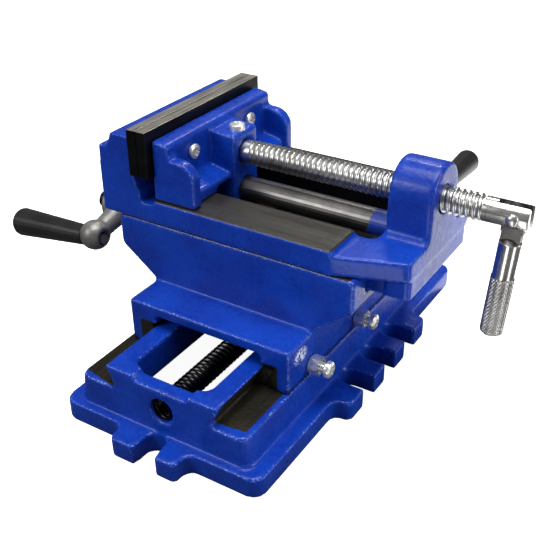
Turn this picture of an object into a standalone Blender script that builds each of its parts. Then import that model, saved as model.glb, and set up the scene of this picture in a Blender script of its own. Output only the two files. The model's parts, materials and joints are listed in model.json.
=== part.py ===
"""Cross slide vise with 100 mm jaws, for a drill press table.

A base casting carries a saddle on a dovetail along Y.  The saddle carries the
vise body on a second dovetail along X.  The moving jaw runs along the bed of
the vise body.  Each slide has its own screw: two with cranks, one with a
swing handle.

Frame: +Z up, +X along the jaw screw towards its handle, +Y along the base
away from its slotted ears.  The origin is on the table, under the middle of
the base.  Metres.
"""
import math

import bmesh
import bpy
from mathutils import Matrix, Vector

MM = 0.001

# Clearances
GAP = 0.3 * MM
CASTING_GAP = 1.0 * MM
MERGE = 0.00001
ROUND_SEGMENTS = 28
ARC_STEP = math.radians(15)

# Dovetails, both slides alike
DOVETAIL_SLOPE = 0.435
GIB_WIDTH = 5.3 * MM
GIB_END_SETBACK = 1.0 * MM

# Base casting
FLANGE_LENGTH = 223 * MM
FLANGE_WIDTH = 116.7 * MM
CASTING_CENTRE_X = -1.2 * MM
FLANGE_HEIGHT = 11.4 * MM
FLANGE_CORNER = 7 * MM
COMB_REACH = 9.4 * MM
COMB_CENTRE_Y = 4.1 * MM
COMB_LENGTH = 92 * MM
COMB_SLOT_COUNT = 3
COMB_SLOT_PITCH = 24.8 * MM
COMB_SLOT_WIDTH = 12 * MM
COMB_SLOT_DEPTH = 16.8 * MM
COMB_FILLET = 7 * MM
EAR_SPAN = 39 * MM
EAR_REACH = 10.5 * MM
EAR_SLOT_MOUTH = 12.8 * MM
EAR_SLOT_ROOT = 10 * MM
EAR_SLOT_DEPTH = 14 * MM
BASE_BODY_LENGTH = 214 * MM
BASE_BODY_WIDTH = 96.7 * MM
BASE_BODY_CORNER = 5 * MM
BASE_BODY_DRAFT = 2.3 * MM
LEDGE_HEIGHT = 27.6 * MM
LOWER_RAIL_WIDTH = 65.4 * MM
LOWER_RAIL_RISE = 11.5 * MM
RAIL_END_SETBACK = 0.4 * MM
BASE_OPENING_WIDTH = 43 * MM
BASE_END_WALL = 9 * MM
BASE_OPENING_CORNER = 5 * MM
BASE_SIDE_WALL = 6.2 * MM
BASE_HOLLOW_HEIGHT = 21.5 * MM
CROSS_BAR_WIDTH = 32 * MM
CROSS_BAR_DROP = 2.7 * MM

# Lead screws and their bearings
SCREW_RADIUS = 6 * MM
JOURNAL_RADIUS = 5.2 * MM
STUB_RADIUS = 3.75 * MM
STUB_LENGTH = 6.6 * MM
SCREW_PITCH = 4 * MM
BASE_SCREW_HEIGHT = 24.6 * MM
CROSS_SCREW_HEIGHT = 60 * MM
FRONT_COUNTERBORE_RADIUS = 7.3 * MM
FRONT_COUNTERBORE_DEPTH = 1 * MM
BOSS_RADIUS = 12.5 * MM
BASE_BOSS_LENGTH = 19 * MM
SADDLE_BOSS_LENGTH = 11.6 * MM
COLLAR_RADIUS = 10 * MM
COLLAR_LENGTH = 8 * MM

# Cranks
CRANK_RADIUS = 29.5 * MM
HUB_RADIUS = 11.5 * MM
HUB_LENGTH = 28 * MM
HUB_END_WALL = 3 * MM
ARM_FROM_HUB_END = 10.6 * MM
ARM_HUB_RADIUS = 7.2 * MM
ARM_BALL_RADIUS = 5.4 * MM
BALL_RADIUS = 8.8 * MM
BALL_FLAT_INNER = 7.2 * MM
BALL_FLAT_OUTER = 6.9 * MM
BALL_RECESS_RADIUS = 4.4 * MM
BALL_RECESS_DEPTH = 2 * MM
GRIP_LENGTH = 55.4 * MM
GRIP_NECK_RADIUS = 5.9 * MM
GRIP_END_RADIUS = 8.4 * MM
GRIP_BORE_DEPTH = 46 * MM
AXLE_RADIUS = 3 * MM
AXLE_END_SINK = 0.6 * MM
CRANK_PIN_RADIUS = 2 * MM
CRANK_PIN_PLACE = 3.8 * MM
CROSS_GRIP_DROOP = math.radians(5.4)
CROSS_GRIP_DROP = 1.5 * MM
CROSS_CRANK_ANGLE = math.radians(193)
BASE_CRANK_ANGLE = math.radians(27.6)

# Saddle casting
SADDLE_LENGTH = 138 * MM
SADDLE_WIDTH = 94.4 * MM
SHOULDER_HEIGHT = 51.5 * MM
TABLE_LENGTH = 136.2 * MM
TABLE_WIDTH = 94.8 * MM
TABLE_EDGE_HEIGHT = 67.5 * MM
SADDLE_TOP = 84.9 * MM
LOWER_CHANNEL_RISE = 12.8 * MM
LOWER_RELIEF_HEIGHT = 45.5 * MM
LOWER_RELIEF_WIDTH = 62 * MM
UPPER_RAIL_WIDTH = 68 * MM
UPPER_RAIL_RISE = 10.7 * MM
PIT_LENGTH = 84 * MM
PIT_FLOOR_HEIGHT = 50 * MM

# Lead screw nuts
NUT_LENGTH = 24 * MM
BASE_NUT_WIDTH = 30 * MM
BASE_NUT_BOTTOM = 13 * MM
CROSS_NUT_WIDTH = 23 * MM
CROSS_NUT_BOTTOM = 51 * MM
CROSS_NUT_X = -11 * MM
SPIGOT_RADIUS = 8 * MM

# Gib screws and locknuts
GIB_SCREW_COUNT = 3
LOWER_GIB_SCREW_PITCH = 48 * MM
UPPER_GIB_SCREW_PITCH = 44 * MM
GIB_SCREW_RADIUS = 2.5 * MM
GIB_SCREW_STANDOUT = 8.5 * MM
GIB_HEAD_RADIUS = 4.3 * MM
GIB_HEAD_LENGTH = 3.4 * MM
LOCKNUT_RADIUS = 4.7 * MM
LOCKNUT_LENGTH = 4 * MM

# Vise body
BODY_LEFT_X = -77.8 * MM
BODY_RIGHT_X = 89.6 * MM
BED_WIDTH = 95.6 * MM
BED_HEIGHT = 12.5 * MM
WAY_START_X = -45 * MM
WAY_END_X = 56 * MM
RAIL_END_BLOCK_X = 77.4 * MM
RAIL_END_CORNER = 2.5 * MM
END_PLATE_DROP = 2.4 * MM
END_PLATE_FRONT_WIDTH = 72 * MM
BED_SLOT_WIDTH = 45 * MM
BED_SLOT_END_WALL = 1 * MM
BED_SLOT_CORNER = 5 * MM
BED_SLOT_FLOOR = 5.3 * MM
JAW_TOP_HEIGHT = 129.4 * MM
JAW_STEP_DROP = 7.5 * MM
JAW_STEP_WIDTH = 6 * MM
JAW_BACK_LEAN = 0.6 * MM
JAW_TOP_LEAN = 2.4 * MM
FIXED_WALL_LEAN = 1.4 * MM
FIXED_FOOT_REACH = 2.9 * MM
FIXED_FOOT_RISE = 6 * MM
FIXED_FOOT_CHAMFER = 1.3 * MM
ARCH_THICKNESS = 22.4 * MM
ARCH_HALF_WIDTH = 15.6 * MM
ARCH_TOP_RISE = 17.2 * MM
ARCH_FLARE = 3.5 * MM
JAW_SCREW_HEIGHT = 112.6 * MM
GUIDE_ROD_HEIGHT = 91.8 * MM
GUIDE_ROD_RADIUS = 6.5 * MM
GUIDE_ROD_SEAT = 8 * MM

# Jaw plates
JAW_LINE_X = -49.95 * MM
PLATE_WIDTH = 100 * MM
PLATE_THICKNESS = 5.5 * MM
PLATE_HEIGHT = 24.2 * MM
PLATE_STANDOUT = 4.8 * MM
MOVING_WALL_LIP = 0.2 * MM
PLATE_SCREW_SPACING = 50.6 * MM
PLATE_SCREW_DROP = 10.8 * MM
PLATE_SCREW_RADIUS = 2.5 * MM
PLATE_SCREW_BITE = 3.2 * MM
PLATE_HEAD_RADIUS = 3.8 * MM
PLATE_HEAD_LENGTH = 2 * MM
FIXED_COUNTERBORE_DEPTH = 12 * MM
FIXED_COUNTERBORE_RADIUS = 5.5 * MM

# Moving jaw
MOVING_JAW_WIDTH = 92 * MM
MOVING_WALL = 9.4 * MM
CHEEK_REACH = 24.3 * MM
CHEEK_THICKNESS = 6.5 * MM
CHEEK_DROP = 8.6 * MM
CHEEK_CORNER = 9.5 * MM
SHELF_BACK_DROP = 6.1 * MM
SHELF_FRONT_DROP = 8.6 * MM
SHELF_REACH = 21.5 * MM
NOSE_BLOCK_REACH = 24.2 * MM
NOSE_BLOCK_WIDTH = 21.5 * MM
NOSE_BLOCK_RISE = 12.2 * MM
NOSE_TOP_FALL = 0.9 * MM
NOSE_BLOCK_DEPTH = 9.3 * MM
ARCHWAY_SPAN = 44.6 * MM
ARCHWAY_RISE = 2.4 * MM
ARCHWAY_CORNER = 2 * MM
RETAINER_HEAD_RADIUS = 4 * MM
RETAINER_HEAD_LENGTH = 3.4 * MM
RETAINER_RADIUS = 2.2 * MM
RETAINER_SETBACK = 5 * MM
RETAINER_SINK = 0.4 * MM

# Jaw screw and swing handle
JAW_SCREW_RADIUS = 6.5 * MM
JAW_NOSE_RADIUS = 5.4 * MM
JAW_NOSE_LENGTH = 14 * MM
JAW_GROOVE_RADIUS = 3.6 * MM
JAW_GROOVE_WIDTH = 5.2 * MM
JAW_THREAD_LENGTH = 128.3 * MM
JAW_HEAD_RADIUS = 6.7 * MM
JAW_HEAD_LENGTH = 21 * MM
CLEVIS_SLOT = 5.2 * MM
CLEVIS_SLOT_DEPTH = 15 * MM
PIN_FROM_END = 7 * MM
PIN_RADIUS = 2 * MM
PIN_HEAD_RADIUS = 2.8 * MM
PIN_HEAD_LENGTH = 0.8 * MM
HANDLE_EYE_RADIUS = 5.2 * MM
HANDLE_TONGUE_LENGTH = 13 * MM
HANDLE_RADIUS = 5 * MM
HANDLE_END_RADIUS = 5.85 * MM
HANDLE_LENGTH = 63 * MM
KNURL_LENGTH = 28 * MM
HANDLE_TILT = math.radians(3.8)

# Worked out: heights
rail_top = LEDGE_HEIGHT + LOWER_RAIL_RISE
saddle_bottom = LEDGE_HEIGHT + GAP
body_bottom = SADDLE_TOP + GAP
bed_top = body_bottom + BED_HEIGHT
upper_rail_bottom = body_bottom - UPPER_RAIL_RISE
slot_floor = upper_rail_bottom + BED_SLOT_FLOOR
end_plate_top = bed_top - END_PLATE_DROP
jaw_step = JAW_TOP_HEIGHT - JAW_STEP_DROP
plate_top = JAW_TOP_HEIGHT + PLATE_STANDOUT
plate_bottom = plate_top - PLATE_HEIGHT
plate_screw_z = JAW_TOP_HEIGHT - PLATE_SCREW_DROP
cheek_top = JAW_TOP_HEIGHT - CHEEK_DROP
arch_top = JAW_SCREW_HEIGHT + ARCH_TOP_RISE
shelf_back = JAW_SCREW_HEIGHT - SHELF_BACK_DROP
shelf_front_z = JAW_SCREW_HEIGHT - SHELF_FRONT_DROP
nose_block_top = JAW_SCREW_HEIGHT + NOSE_BLOCK_RISE
nose_front_top = nose_block_top - NOSE_TOP_FALL
nose_block_bottom = GUIDE_ROD_HEIGHT - NOSE_BLOCK_DEPTH
retainer_head_low = nose_front_top - RETAINER_SINK

# Worked out: places along the jaw screw
fixed_plate_front = JAW_LINE_X - GAP / 2
fixed_plate_back = fixed_plate_front - PLATE_THICKNESS
fixed_seat = fixed_plate_back - GAP
fixed_wall = fixed_plate_back + FIXED_FOOT_REACH
moving_plate_front = JAW_LINE_X + GAP / 2
moving_plate_back = moving_plate_front + PLATE_THICKNESS
moving_seat = moving_plate_back + GAP
moving_wall = moving_plate_back - MOVING_WALL_LIP
moving_rear = moving_seat + MOVING_WALL
cheek_front = moving_seat + CHEEK_REACH
nose_front = moving_seat + NOSE_BLOCK_REACH
arch_left = BODY_RIGHT_X - ARCH_THICKNESS
jaw_nose_end = nose_front - JAW_NOSE_LENGTH
jaw_head_start = nose_front + GAP + JAW_THREAD_LENGTH
jaw_head_end = jaw_head_start + JAW_HEAD_LENGTH
handle_pin_x = jaw_head_end - PIN_FROM_END
retainer_x = nose_front - RETAINER_SETBACK

# Worked out: places along the lead screws
base_wall_end = BASE_BODY_LENGTH / 2
base_inner_end = base_wall_end - BASE_END_WALL
base_collar_start = base_wall_end + BASE_BOSS_LENGTH + GAP
base_hub_start = base_collar_start + COLLAR_LENGTH + GAP
base_hub_end = base_hub_start + HUB_LENGTH
saddle_end = TABLE_LENGTH / 2
cross_collar_start = saddle_end + SADDLE_BOSS_LENGTH + GAP
cross_hub_start = cross_collar_start + COLLAR_LENGTH + GAP
cross_hub_end = cross_hub_start + HUB_LENGTH

ORIGIN = Vector((0, 0, 0))
AXES = {"X": Vector((1, 0, 0)), "Y": Vector((0, 1, 0)), "Z": Vector((0, 0, 1))}


def clear_scene():
    for old in list(bpy.data.objects):
        bpy.data.objects.remove(old, do_unlink=True)


def new_collection(name):
    made = bpy.data.collections.new(name)
    bpy.context.scene.collection.children.link(made)
    return made


clear_scene()
parts = new_collection("cross_slide_vise")
cutters = new_collection("cutters")
guides = new_collection("guides")


def material(name, colour, roughness, metallic):
    made = bpy.data.materials.new(name)
    made.use_nodes = True
    shader = made.node_tree.nodes["Principled BSDF"]
    shader.inputs["Base Color"].default_value = (*colour, 1)
    shader.inputs["Roughness"].default_value = roughness
    shader.inputs["Metallic"].default_value = metallic
    made.diffuse_color = (*colour, 1)
    return made


def blue_paint(name):
    return material(name, (0.011, 0.045, 0.36), 0.32, 0.0)


def black_steel(name):
    return material(name, (0.02, 0.019, 0.018), 0.42, 0.8)


def dark_steel(name):
    return material(name, (0.13, 0.125, 0.115), 0.35, 0.9)


def bright_steel(name):
    return material(name, (0.6, 0.58, 0.54), 0.25, 1.0)


def cast_grey(name):
    return material(name, (0.3, 0.29, 0.27), 0.42, 0.8)


def black_plastic(name):
    return material(name, (0.02, 0.02, 0.02), 0.4, 0.0)


def bronze(name):
    return material(name, (0.33, 0.2, 0.09), 0.4, 0.9)


def axis_frame(axis, origin):
    """Matrix whose local Z is the named axis.

    An outline (u, v) lies in (Y, Z) for X, in (X, Z) for Y, in (X, Y) for Z.
    """
    columns = {
        "X": ((0, 1, 0), (0, 0, 1), (1, 0, 0)),
        "Y": ((1, 0, 0), (0, 0, 1), (0, -1, 0)),
        "Z": ((1, 0, 0), (0, 1, 0), (0, 0, 1)),
    }[axis]
    turned_frame = Matrix([Vector(column) for column in columns]).transposed()
    return Matrix.Translation(origin) @ turned_frame.to_4x4()


def fillet(corners):
    """Outline with each (u, v, radius) corner rounded by its radius."""
    outline = []
    count = len(corners)
    for index, corner in enumerate(corners):
        here = Vector(corner[:2])
        radius = corner[2] if len(corner) > 2 else 0
        if radius <= 0:
            outline.append(here)
            continue
        to_last = (Vector(corners[index - 1][:2]) - here).normalized()
        to_next = (Vector(corners[(index + 1) % count][:2]) - here).normalized()
        half = to_last.angle(to_next) / 2
        reach = radius / math.tan(half)
        centre = here + (to_last + to_next).normalized() * radius / math.sin(half)
        start = here + to_last * reach - centre
        sweep = start.angle_signed(here + to_next * reach - centre)
        steps = max(2, round(abs(sweep) / ARC_STEP))
        for step in range(steps + 1):
            turn = Matrix.Rotation(-sweep * step / steps, 2)
            outline.append(centre + turn @ start)
    return outline


def whole_caps(bm):
    """Give each end of a pushed outline one face instead of many thin ones."""
    caps = [face for face in bm.faces
            if max(vert.co.z for vert in face.verts) - min(vert.co.z for vert in face.verts) < MERGE]
    bmesh.ops.delete(bm, geom=caps, context="FACES_KEEP_BOUNDARY")
    rims = [edge for edge in bm.edges if edge.is_boundary]
    bmesh.ops.holes_fill(bm, edges=rims, sides=0)


def as_mesh(source, name, bevel=0):
    """Mesh object made from a curve or a modified object, which is removed."""
    graph = bpy.context.evaluated_depsgraph_get()
    mesh = bpy.data.meshes.new_from_object(source.evaluated_get(graph))
    bm = bmesh.new()
    bm.from_mesh(mesh)
    bmesh.ops.remove_doubles(bm, verts=bm.verts, dist=MERGE)
    if source.type == "CURVE":
        whole_caps(bm)
    bmesh.ops.transform(bm, matrix=source.matrix_world, verts=bm.verts)
    bmesh.ops.recalc_face_normals(bm, faces=bm.faces)
    bm.to_mesh(mesh)
    bm.free()
    bpy.data.objects.remove(source, do_unlink=True)
    made = bpy.data.objects.new(name, mesh)
    parts.objects.link(made)
    if bevel:
        add_bevel(made, bevel)
        bpy.context.view_layer.update()
    return made


def add_bevel(piece, width, segments=2, angle=40):
    rounding = piece.modifiers.new("rounded edges", "BEVEL")
    rounding.width = width
    rounding.segments = segments
    rounding.limit_method = "ANGLE"
    rounding.angle_limit = math.radians(angle)
    rounding.use_clamp_overlap = True


def prism(name, corners, axis, low, high, bevel=0):
    """Filled outline pushed along an axis from low to high."""
    outline = fillet(corners)
    curve = bpy.data.curves.new(name, "CURVE")
    curve.dimensions = "2D"
    curve.fill_mode = "BOTH"
    curve.extrude = (high - low) / 2
    spline = curve.splines.new("POLY")
    spline.points.add(len(outline) - 1)
    for point, place in zip(spline.points, outline):
        point.co = (place.x, place.y, 0, 1)
    spline.use_cyclic_u = True
    flat = bpy.data.objects.new(name, curve)
    flat.matrix_world = axis_frame(axis, AXES[axis] * (low + high) / 2)
    parts.objects.link(flat)
    bpy.context.view_layer.update()
    return as_mesh(flat, name, bevel)


def box(name, x, y, z, bevel=0):
    """Box between the low and high values given for each axis."""
    corners = [(x[0], y[0]), (x[1], y[0]), (x[1], y[1]), (x[0], y[1])]
    return prism(name, corners, "Z", z[0], z[1], bevel)


def turned(name, profile, axis, centre, segments=ROUND_SEGMENTS):
    """Solid turned about an axis through centre.

    The profile is a list of (place along the axis, radius), in rising order,
    closed to the axis at both ends.
    """
    rim = [Vector((max(radius, 0), 0, place)) for place, radius in profile]
    first = Vector((0, 0, rim[0].z))
    last = Vector((0, 0, rim[-1].z))
    chain = [last, *reversed(rim), first]
    chain = [point for index, point in enumerate(chain)
             if index == 0 or (point - chain[index - 1]).length > MERGE]
    mesh = bpy.data.meshes.new(name)
    edges = [(index, index + 1) for index in range(len(chain) - 1)]
    mesh.from_pydata(chain, edges, [])
    raw = bpy.data.objects.new(name, mesh)
    parts.objects.link(raw)
    screw = raw.modifiers.new("turned", "SCREW")
    screw.axis = "Z"
    screw.steps = segments
    screw.render_steps = segments
    screw.use_merge_vertices = True
    screw.merge_threshold = MERGE
    along = AXES[axis]
    raw.matrix_world = Matrix.Translation(centre) @ along_axis(along)
    bpy.context.view_layer.update()
    return as_mesh(raw, name)


def turned_along(name, profile, start, out, segments=ROUND_SEGMENTS):
    """Solid turned about any line, with its profile measured from start."""
    piece = turned(name, profile, "Z", ORIGIN, segments)
    piece.data.transform(Matrix.Translation(start) @ along_axis(out))
    return piece


def along_axis(direction):
    """Rotation that takes local Z to a direction."""
    return direction.to_track_quat("Z", "Y").to_matrix().to_4x4()


def rod(name, axis, low, high, centre, radius, segments=ROUND_SEGMENTS):
    """Plain cylinder along an axis, placed by its two ends on that axis."""
    mesh = bpy.data.meshes.new(name)
    bm = bmesh.new()
    place = Vector(centre) + AXES[axis] * (low + high) / 2
    bmesh.ops.create_cone(
        bm, cap_ends=True, segments=segments, radius1=radius, radius2=radius,
        depth=high - low, matrix=Matrix.Translation(place) @ along_axis(AXES[axis]))
    bm.to_mesh(mesh)
    bm.free()
    made = bpy.data.objects.new(name, mesh)
    parts.objects.link(made)
    return made


def combine(target, tools, operation, holder):
    for tool in tools:
        step = target.modifiers.new(tool.name, "BOOLEAN")
        step.operation = operation
        step.solver = "EXACT"
        step.object = tool
        parts.objects.unlink(tool)
        holder.objects.link(tool)
        tool.hide_render = True
        tool.display_type = "WIRE"
    return target


def cut(target, *tools):
    return combine(target, tools, "DIFFERENCE", cutters)


def join(target, *tools):
    return combine(target, tools, "UNION", guides)


def smooth_round(piece, angle=35):
    piece.data.shade_smooth()
    piece.data.set_sharp_from_angle(angle=math.radians(angle))


def finish(piece, look):
    piece.data.materials.clear()
    piece.data.materials.append(look)
    smooth_round(piece)
    return piece


def joint_empty(name, place):
    empty = bpy.data.objects.new(name, None)
    empty.location = place
    empty.empty_display_size = 0.01
    parts.objects.link(empty)
    bpy.context.view_layer.update()
    return empty


def carry(empty, *pieces):
    for piece in pieces:
        piece.parent = empty
        piece.matrix_parent_inverse = empty.matrix_world.inverted()


def spread(count, pitch):
    """Places of a row of count, centred on zero."""
    return [(index - (count - 1) / 2) * pitch for index in range(count)]


def rail_half(top_half, height_below_top, slope=DOVETAIL_SLOPE):
    return top_half - slope * height_below_top


def flange_outline():
    half_x = FLANGE_WIDTH / 2
    half_y = FLANGE_LENGTH / 2
    comb_x = half_x + COMB_REACH
    comb_low = COMB_CENTRE_Y - COMB_LENGTH / 2
    comb_high = COMB_CENTRE_Y + COMB_LENGTH / 2
    ear_y = -half_y - EAR_REACH
    lug = COMB_REACH * 0.4
    corners = [
        (-half_x, -half_y, FLANGE_CORNER),
        (-EAR_SPAN / 2, -half_y, EAR_REACH * 0.5),
        (-EAR_SPAN / 2, ear_y, EAR_REACH * 0.3),
        (EAR_SPAN / 2, ear_y, EAR_REACH * 0.3),
        (EAR_SPAN / 2, -half_y, EAR_REACH * 0.5),
        (half_x, -half_y, FLANGE_CORNER),
        (half_x, comb_low, COMB_REACH * 0.5),
        (comb_x, comb_low, lug),
        (comb_x, comb_high, lug),
        (half_x, comb_high, COMB_REACH * 0.5),
        (half_x, half_y, FLANGE_CORNER),
        (-half_x, half_y, FLANGE_CORNER),
        (-half_x, comb_high, COMB_REACH * 0.5),
        (-comb_x, comb_high, lug),
        (-comb_x, comb_low, lug),
        (-half_x, comb_low, COMB_REACH * 0.5),
    ]
    return [(CASTING_CENTRE_X + x, y, radius) for x, y, radius in corners]


def comb_slots():
    slots = []
    half = COMB_SLOT_WIDTH / 2
    root = half * 0.96
    tip_x = FLANGE_WIDTH / 2 + COMB_REACH
    for side in (-1, 1):
        inner = CASTING_CENTRE_X + side * (tip_x - COMB_SLOT_DEPTH)
        outer = CASTING_CENTRE_X + side * (tip_x + CASTING_GAP)
        for place in spread(COMB_SLOT_COUNT, COMB_SLOT_PITCH):
            y = COMB_CENTRE_Y + place
            corners = [(outer, y - half), (outer, y + half), (inner, y + half, root),
                       (inner, y - half, root)]
            slots.append(prism("comb slot", corners, "Z", -CASTING_GAP,
                               FLANGE_HEIGHT + CASTING_GAP))
    return slots


def ear_slot():
    tip = -FLANGE_LENGTH / 2 - EAR_REACH
    mouth = EAR_SLOT_MOUTH / 2
    root = EAR_SLOT_ROOT / 2
    corners = [(-mouth, tip - CASTING_GAP), (mouth, tip - CASTING_GAP),
               (root, tip + EAR_SLOT_DEPTH, root * 0.95),
               (-root, tip + EAR_SLOT_DEPTH, root * 0.95)]
    return prism("ear slot", corners, "Z", -CASTING_GAP, FLANGE_HEIGHT + CASTING_GAP)


def lower_rail_corners(z_low, z_high, play):
    """Half widths of the lower male dovetail, grown by a play, at two heights."""
    low = rail_half(LOWER_RAIL_WIDTH / 2, rail_top - z_low) + play
    high = rail_half(LOWER_RAIL_WIDTH / 2, rail_top - z_high) + play
    return low, high


def draft_sides(piece, top, spread_x):
    """Lean the two long sides outwards below their top edge."""
    for vert in piece.data.vertices:
        if vert.co.z < top - MERGE:
            vert.co.x += math.copysign(spread_x, vert.co.x)


def base_casting():
    half_y = BASE_BODY_LENGTH / 2
    half_x = BASE_BODY_WIDTH / 2
    corner = BASE_BODY_CORNER
    sunk = CASTING_GAP
    casting = prism("base_casting", flange_outline(), "Z", 0, FLANGE_HEIGHT)
    cut(casting, *comb_slots(), ear_slot())
    left = CASTING_CENTRE_X - half_x
    right = CASTING_CENTRE_X + half_x
    block = prism("body block", [(left, -half_y, corner), (right, -half_y, corner),
                                 (right, half_y, corner), (left, half_y, corner)],
                  "Z", FLANGE_HEIGHT - sunk, LEDGE_HEIGHT)
    draft_sides(block, LEDGE_HEIGHT, BASE_BODY_DRAFT)
    low, high = lower_rail_corners(LEDGE_HEIGHT, rail_top, 0)
    rails = prism("dovetail", [(-low, LEDGE_HEIGHT - sunk), (-low, LEDGE_HEIGHT), (-high, rail_top),
                               (high, rail_top), (low, LEDGE_HEIGHT), (low, LEDGE_HEIGHT - sunk)],
                  "Y", -half_y + RAIL_END_SETBACK, half_y - RAIL_END_SETBACK)
    boss = rod("rear bearing boss", "Y", half_y - sunk, half_y + BASE_BOSS_LENGTH,
               (0, 0, BASE_SCREW_HEIGHT), BOSS_RADIUS)
    join(casting, block, rails, boss)

    opening_x = BASE_OPENING_WIDTH / 2
    opening = prism("middle opening",
                    [(-opening_x, -base_inner_end, BASE_OPENING_CORNER),
                     (opening_x, -base_inner_end, BASE_OPENING_CORNER),
                     (opening_x, base_inner_end, BASE_OPENING_CORNER),
                     (-opening_x, base_inner_end, BASE_OPENING_CORNER)],
                    "Z", -sunk, rail_top + sunk)
    left += BASE_SIDE_WALL
    right -= BASE_SIDE_WALL
    hollow = prism("underside hollow",
                   [(left, -base_inner_end, corner), (right, -base_inner_end, corner),
                    (right, base_inner_end, corner), (left, base_inner_end, corner)],
                   "Z", -sunk, BASE_HOLLOW_HEIGHT)
    cut(casting, hollow, opening)
    bar_x = CROSS_BAR_WIDTH / 2
    for side in (-1, 1):
        ends = sorted((side * (base_inner_end - 2 * sunk), side * (half_y + sunk)))
        cut(casting, box("cross bar top", (-bar_x, bar_x), ends,
                         (rail_top - CROSS_BAR_DROP, rail_top + sunk)))
    front_hole = rod("front bearing", "Y", -half_y - sunk, -base_inner_end + sunk,
                     (0, 0, BASE_SCREW_HEIGHT), SCREW_RADIUS + GAP)
    front_mouth = rod("front counterbore", "Y", -half_y - sunk, -half_y + FRONT_COUNTERBORE_DEPTH,
                      (0, 0, BASE_SCREW_HEIGHT), FRONT_COUNTERBORE_RADIUS)
    rear_hole = rod("rear bearing", "Y", base_inner_end - sunk, half_y + BASE_BOSS_LENGTH + sunk,
                    (0, 0, BASE_SCREW_HEIGHT), JOURNAL_RADIUS + GAP)
    cut(casting, front_hole, front_mouth, rear_hole)
    return finish(casting, blue_paint("base paint"))


def saddle_casting():
    half_x = SADDLE_WIDTH / 2
    half_y = SADDLE_LENGTH / 2
    table_x = TABLE_LENGTH / 2
    table_y = TABLE_WIDTH / 2
    sunk = CASTING_GAP
    neck_x = half_x - GAP
    root_x = neck_x - sunk
    casting = prism("saddle_casting",
                    [(-table_x, TABLE_EDGE_HEIGHT, 3 * MM), (-neck_x, SHOULDER_HEIGHT),
                     (-root_x, SHOULDER_HEIGHT - sunk), (root_x, SHOULDER_HEIGHT - sunk),
                     (neck_x, SHOULDER_HEIGHT), (table_x, TABLE_EDGE_HEIGHT, 3 * MM),
                     (table_x, SADDLE_TOP), (-table_x, SADDLE_TOP)],
                    "Y", -table_y, table_y)
    lower = box("lower block", (-half_x, half_x), (-half_y, half_y),
                (saddle_bottom, SHOULDER_HEIGHT))
    boss = rod("bearing boss", "X", -table_x - SADDLE_BOSS_LENGTH, -root_x,
               (0, 0, CROSS_SCREW_HEIGHT), BOSS_RADIUS)
    join(casting, lower, boss)

    channel_top = saddle_bottom + LOWER_CHANNEL_RISE
    below = saddle_bottom - sunk
    low, high = lower_rail_corners(below, channel_top, GAP)
    gib_room = GIB_WIDTH + GAP
    relief = LOWER_RELIEF_WIDTH / 2
    channel = prism("lower dovetail channel",
                    [(-low, below), (low + gib_room, below), (high + gib_room, channel_top),
                     (relief, channel_top), (relief, LOWER_RELIEF_HEIGHT, 1.5 * MM),
                     (-relief, LOWER_RELIEF_HEIGHT, 1.5 * MM), (-relief, channel_top),
                     (-high, channel_top)],
                    "Y", -half_y - sunk, half_y + sunk)
    deep = upper_rail_bottom - CASTING_GAP
    wide = upper_rail_half(deep) + GAP
    narrow = upper_rail_half(SADDLE_TOP + sunk) + GAP
    upper = prism("upper dovetail channel",
                  [(-narrow, SADDLE_TOP + sunk), (-wide, deep), (wide + gib_room, deep),
                   (narrow + gib_room, SADDLE_TOP + sunk)],
                  "X", -table_x - sunk, table_x + sunk)
    pit_y = CROSS_NUT_WIDTH / 2 + CASTING_GAP
    pit = prism("nut pit", [(-PIT_LENGTH / 2, -pit_y, 3 * MM), (PIT_LENGTH / 2, -pit_y, 3 * MM),
                            (PIT_LENGTH / 2, pit_y, 3 * MM), (-PIT_LENGTH / 2, pit_y, 3 * MM)],
                "Z", PIT_FLOOR_HEIGHT, deep + sunk)
    left_hole = rod("left bearing", "X", -table_x - SADDLE_BOSS_LENGTH - sunk,
                    -PIT_LENGTH / 2 + sunk, (0, 0, CROSS_SCREW_HEIGHT), JOURNAL_RADIUS + GAP)
    right_hole = rod("right bearing", "X", PIT_LENGTH / 2 - sunk, table_x,
                     (0, 0, CROSS_SCREW_HEIGHT), SCREW_RADIUS + GAP)
    spigot_hole = rod("nut spigot hole", "Z", LOWER_RELIEF_HEIGHT - sunk, PIT_FLOOR_HEIGHT + sunk,
                      (0, 0, 0), SPIGOT_RADIUS + GAP)
    cut(casting, channel, upper, pit, left_hole, right_hole, spigot_hole)
    for y in spread(GIB_SCREW_COUNT, LOWER_GIB_SCREW_PITCH):
        cut(casting, rod("lower gib screw hole", "X", high, half_x + sunk,
                         (0, y, lower_gib_screw_z()), GIB_SCREW_RADIUS + GAP, 16))
    for x in spread(GIB_SCREW_COUNT, UPPER_GIB_SCREW_PITCH):
        cut(casting, rod("upper gib screw hole", "Y", wide, table_y + sunk,
                         (x, 0, upper_gib_screw_z()), GIB_SCREW_RADIUS + GAP, 16))
    return finish(casting, blue_paint("saddle paint"))


def upper_rail_half(z):
    """Half width of the upper male dovetail, which is widest at its bottom."""
    return UPPER_RAIL_WIDTH / 2 - DOVETAIL_SLOPE * (z - upper_rail_bottom)


def lower_gib_screw_z():
    return (saddle_bottom + rail_top) / 2


def upper_gib_screw_z():
    return (upper_rail_bottom + SADDLE_TOP) / 2


def lower_gib():
    z_low = saddle_bottom + CASTING_GAP
    z_high = rail_top - CASTING_GAP
    low, high = lower_rail_corners(z_low, z_high, GAP)
    half_y = SADDLE_LENGTH / 2 - GIB_END_SETBACK
    strip = prism("lower_gib", [(low, z_low), (low + GIB_WIDTH, z_low), (high + GIB_WIDTH, z_high),
                                (high, z_high)], "Y", -half_y, half_y)
    return finish(strip, bronze("lower gib steel"))


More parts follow.
